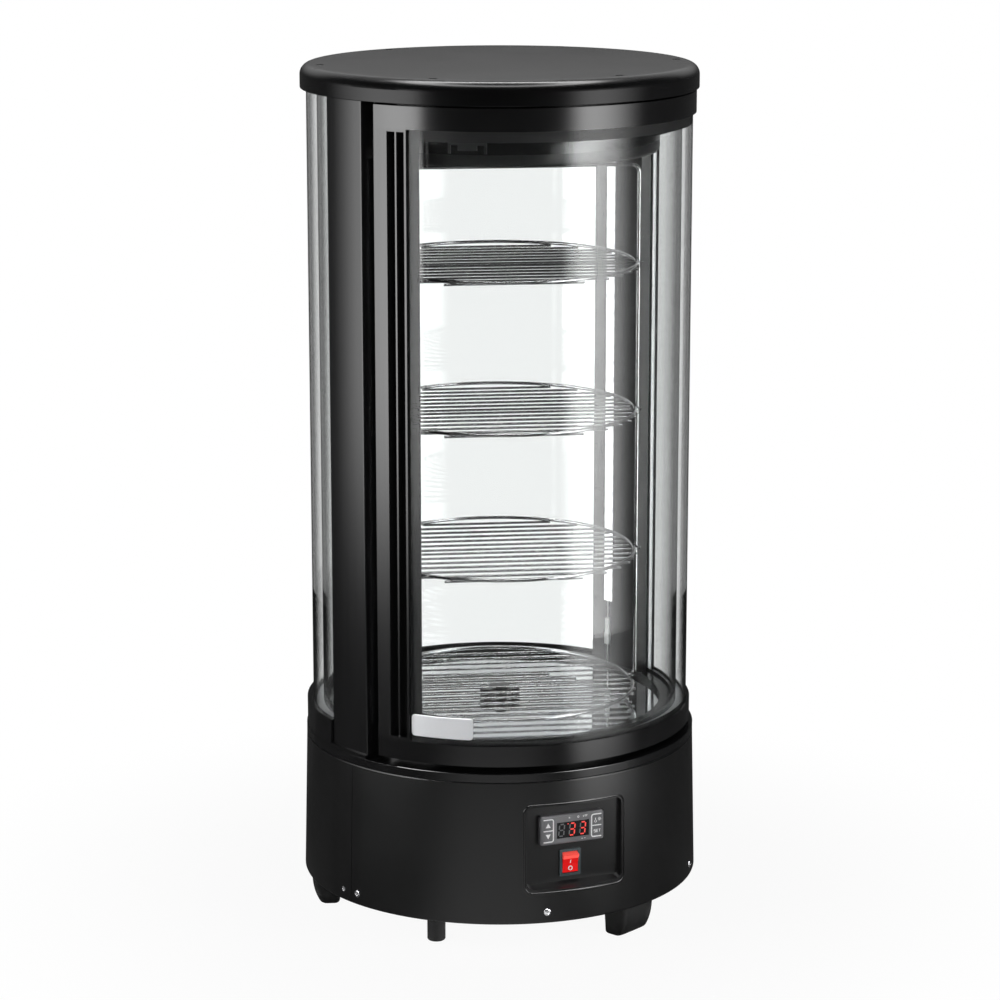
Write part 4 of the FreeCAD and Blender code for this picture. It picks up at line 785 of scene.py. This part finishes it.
# black edge printed inside the outer pane and on the inner one, and sealant beside the spacer
pane_left, pane_right, pane_foot, pane_top = -66.4, 80.15, 0.2417, 0.9422
outer_face, inner_face, border, sealant_reach, sealant_thick = 0.21603, 0.20689, 0.00008, 0.2122, 0.0037
left_edge, right_edge, head_foot, sill_top = pane_left + 3.3, pane_right - 0.9, 0.922, 0.2532
seal = [band(outer_face, border, (pane_left, left_edge), (pane_foot, pane_top), 8),
        band(outer_face, border, (left_edge, pane_right), (head_foot, pane_top)),
        band(outer_face, border, (left_edge, pane_right), (pane_foot, sill_top)),
        band(inner_face, border, (right_edge, pane_right), (pane_foot, pane_top), 4),
        band(sealant_reach, sealant_thick, (77.98, 78.1), (pane_foot, pane_top), 3)]
new_solid("door_glass_seal", seal, gasket_rubber, "door")


# ---------------------------------------------------------------- head and lid
# The head is a black moulded frame with a drum under it for the evaporator; the lid is one
# satin moulding with a full round edge, held by six screws.
def drawn_in(node, name, move, material):
    """A node's shape with its points moved by a formula in distance from the axis and height."""
    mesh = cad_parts[node].data.copy()
    points = np.empty(len(mesh.vertices) * 3)
    mesh.vertices.foreach_get("co", points)
    points = points.reshape(-1, 3)
    reach = np.hypot(points[:, 0], points[:, 1])
    new_reach, height = move(reach, points[:, 2])
    points[:, :2] *= (new_reach / np.maximum(reach, 1e-9))[:, None]
    points[:, 2] = height
    mesh.vertices.foreach_set("co", points.ravel())
    mesh.materials.clear()
    mesh.materials.append(material)
    finish_mesh(mesh)
    piece = bpy.data.objects.new(name, mesh)
    bpy.context.scene.collection.objects.link(piece)
    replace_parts(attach(piece, "cabinet"), node)
    return piece


def drum_form(reach, height):
    """The shell drawn in to the drum's radius, with its lower edge at the joint to the ceiling."""
    return reach - shell_reach + drum_reach, np.where(height < shell_middle, drum_foot, height)


def ceiling_form(reach, height):
    """The pan lowered to the drum's foot, with its rim drawn in; what lies within pan_flat keeps
    its reach."""
    squeeze = (drum_reach - pan_gap - pan_flat) / (pan_rim - pan_flat)
    new_reach = np.where(reach > pan_flat, pan_flat + (reach - pan_flat) * squeeze, reach)
    return new_reach, height + drum_foot - shell_foot


drum_plastic = black_plastic("drum_plastic", 0.22, 0.06)
ceiling_plastic = black_plastic("ceiling_plastic", 0.4, 0.2)
lid_plastic = black_plastic("lid_plastic", 0.24, 0.1, Specular_Tint=(0.3, 0.3, 0.3))
catch_plastic = black_plastic("catch_plastic", 0.35, 0.2, (0.02, 0.02, 0.02))
black_screw = black_plastic("black_screw", 0.3, 0.2, (0.02, 0.02, 0.02), Metallic=0.5)
drum_reach, drum_foot = 0.182, 0.905
shell_reach, shell_foot, shell_middle = 0.2, 0.9084, 0.93
pan_flat, pan_rim, pan_gap = 0.15, 0.198, 0.0001
drawn_in("header_shell", "header_drum", drum_form, drum_plastic)
drawn_in("ceiling_pan", "drum_ceiling", ceiling_form, ceiling_plastic)
seal_ring = band(0.197, 0.003, (-73.2, 73.2), (0.9174, 0.9616))
new_solid("head_seal_ring", [seal_ring], drum_plastic, "cabinet")
dress(drum_plastic, "top_frame")
dress(lid_plastic, "lid")
dress(catch_plastic, "door_catch")
dress(black_screw, "lid_screws")


# ---------------------------------------------------------------- door
# The curved door: moulded rails, a stile with a long finger groove and fin, a slim cap on the
# hinge edge, and a bare metal plate on its glass. It turns on two steel pins.
def badge_plate():
    """Bare curved plate: a bevelled section carried round the glass; near its ends its height
    follows the corner arcs, h - r + sqrt(r^2 - (r - distance)^2)."""
    glass_face, thick, bevel, corner = 0.21902, 0.0009, 0.0004, 0.0038
    left, right, foot, top = math.radians(-66.1), math.radians(-47.3), 0.2556, 0.2804
    half, middle = (top - foot) / 2, (top + foot) / 2
    length = (right - left) * glass_face
    ends = corner * (1 - np.cos(np.linspace(0, math.pi / 2, 9)))
    along = np.concatenate([ends, np.linspace(corner, length - corner, 26)[1:-1], length - ends[::-1]])
    distance = np.minimum(np.minimum(along, length - along), corner)
    tall = (half - corner + np.sqrt(corner ** 2 - (corner - distance) ** 2))[:, None]
    reach = glass_face + np.array([0, thick - bevel, thick, thick, thick - bevel, 0])
    rim = np.array([1, 1, 1, -1, -1, -1]) * tall - np.array([0, 0, bevel, -bevel, 0, 0])
    return swept(placed(reach, 0.0, (left + along / glass_face)[:, None], middle + rim))


def plate_silver():
    """Pale satin plate with a fine horizontal brush."""
    material, start = new_material("plate_silver", Metallic=0.3)
    brush = spread(start, 500.0, 3.0, (1, 1, 14))
    feed(material, Base_Color=brush.blend((0.7, 0.71, 0.73), (0.84, 0.85, 0.87)),
         Roughness=brush * 0.15 + 0.3)
    return material


rail_plastic = black_plastic("rail_plastic", 0.2, 0.06)
dress(rail_plastic, "door_top_rail", "door_bottom_rail", "door_hinge_cap")
dress(extrusion, "door_handle_stile")
dress(bright_screw, "hinge_pins")
new_solid("badge_plate", [badge_plate()], plate_silver(), "door")


# ---------------------------------------------------------------- turning rack
# Four round shelves of chromed wire, welded to one bent wire hoop. The lowest rests in the
# grooves of a black moulded hub on the drive shaft.
def chromed_wire():
    """Bright chrome plating over drawn wire."""
    material, start = new_material("chromed_wire", Metallic=1.0)
    haze = spread(start, 120.0, 3.0)
    feed(material, Base_Color=haze.blend((0.3, 0.3, 0.305), (0.5, 0.5, 0.505)), Roughness=haze * 0.12 + 0.06)
    return material


chrome = chromed_wire()
hub_plastic = black_plastic("hub_plastic", 0.3, 0.2, (0.01, 0.01, 0.01))
dress(chrome, "rack_hoop", "shelf_1", "shelf_2", "shelf_3", "shelf_4")
dress(hub_plastic, "drive_hub")
dress(bright_screw, "drive_shaft")
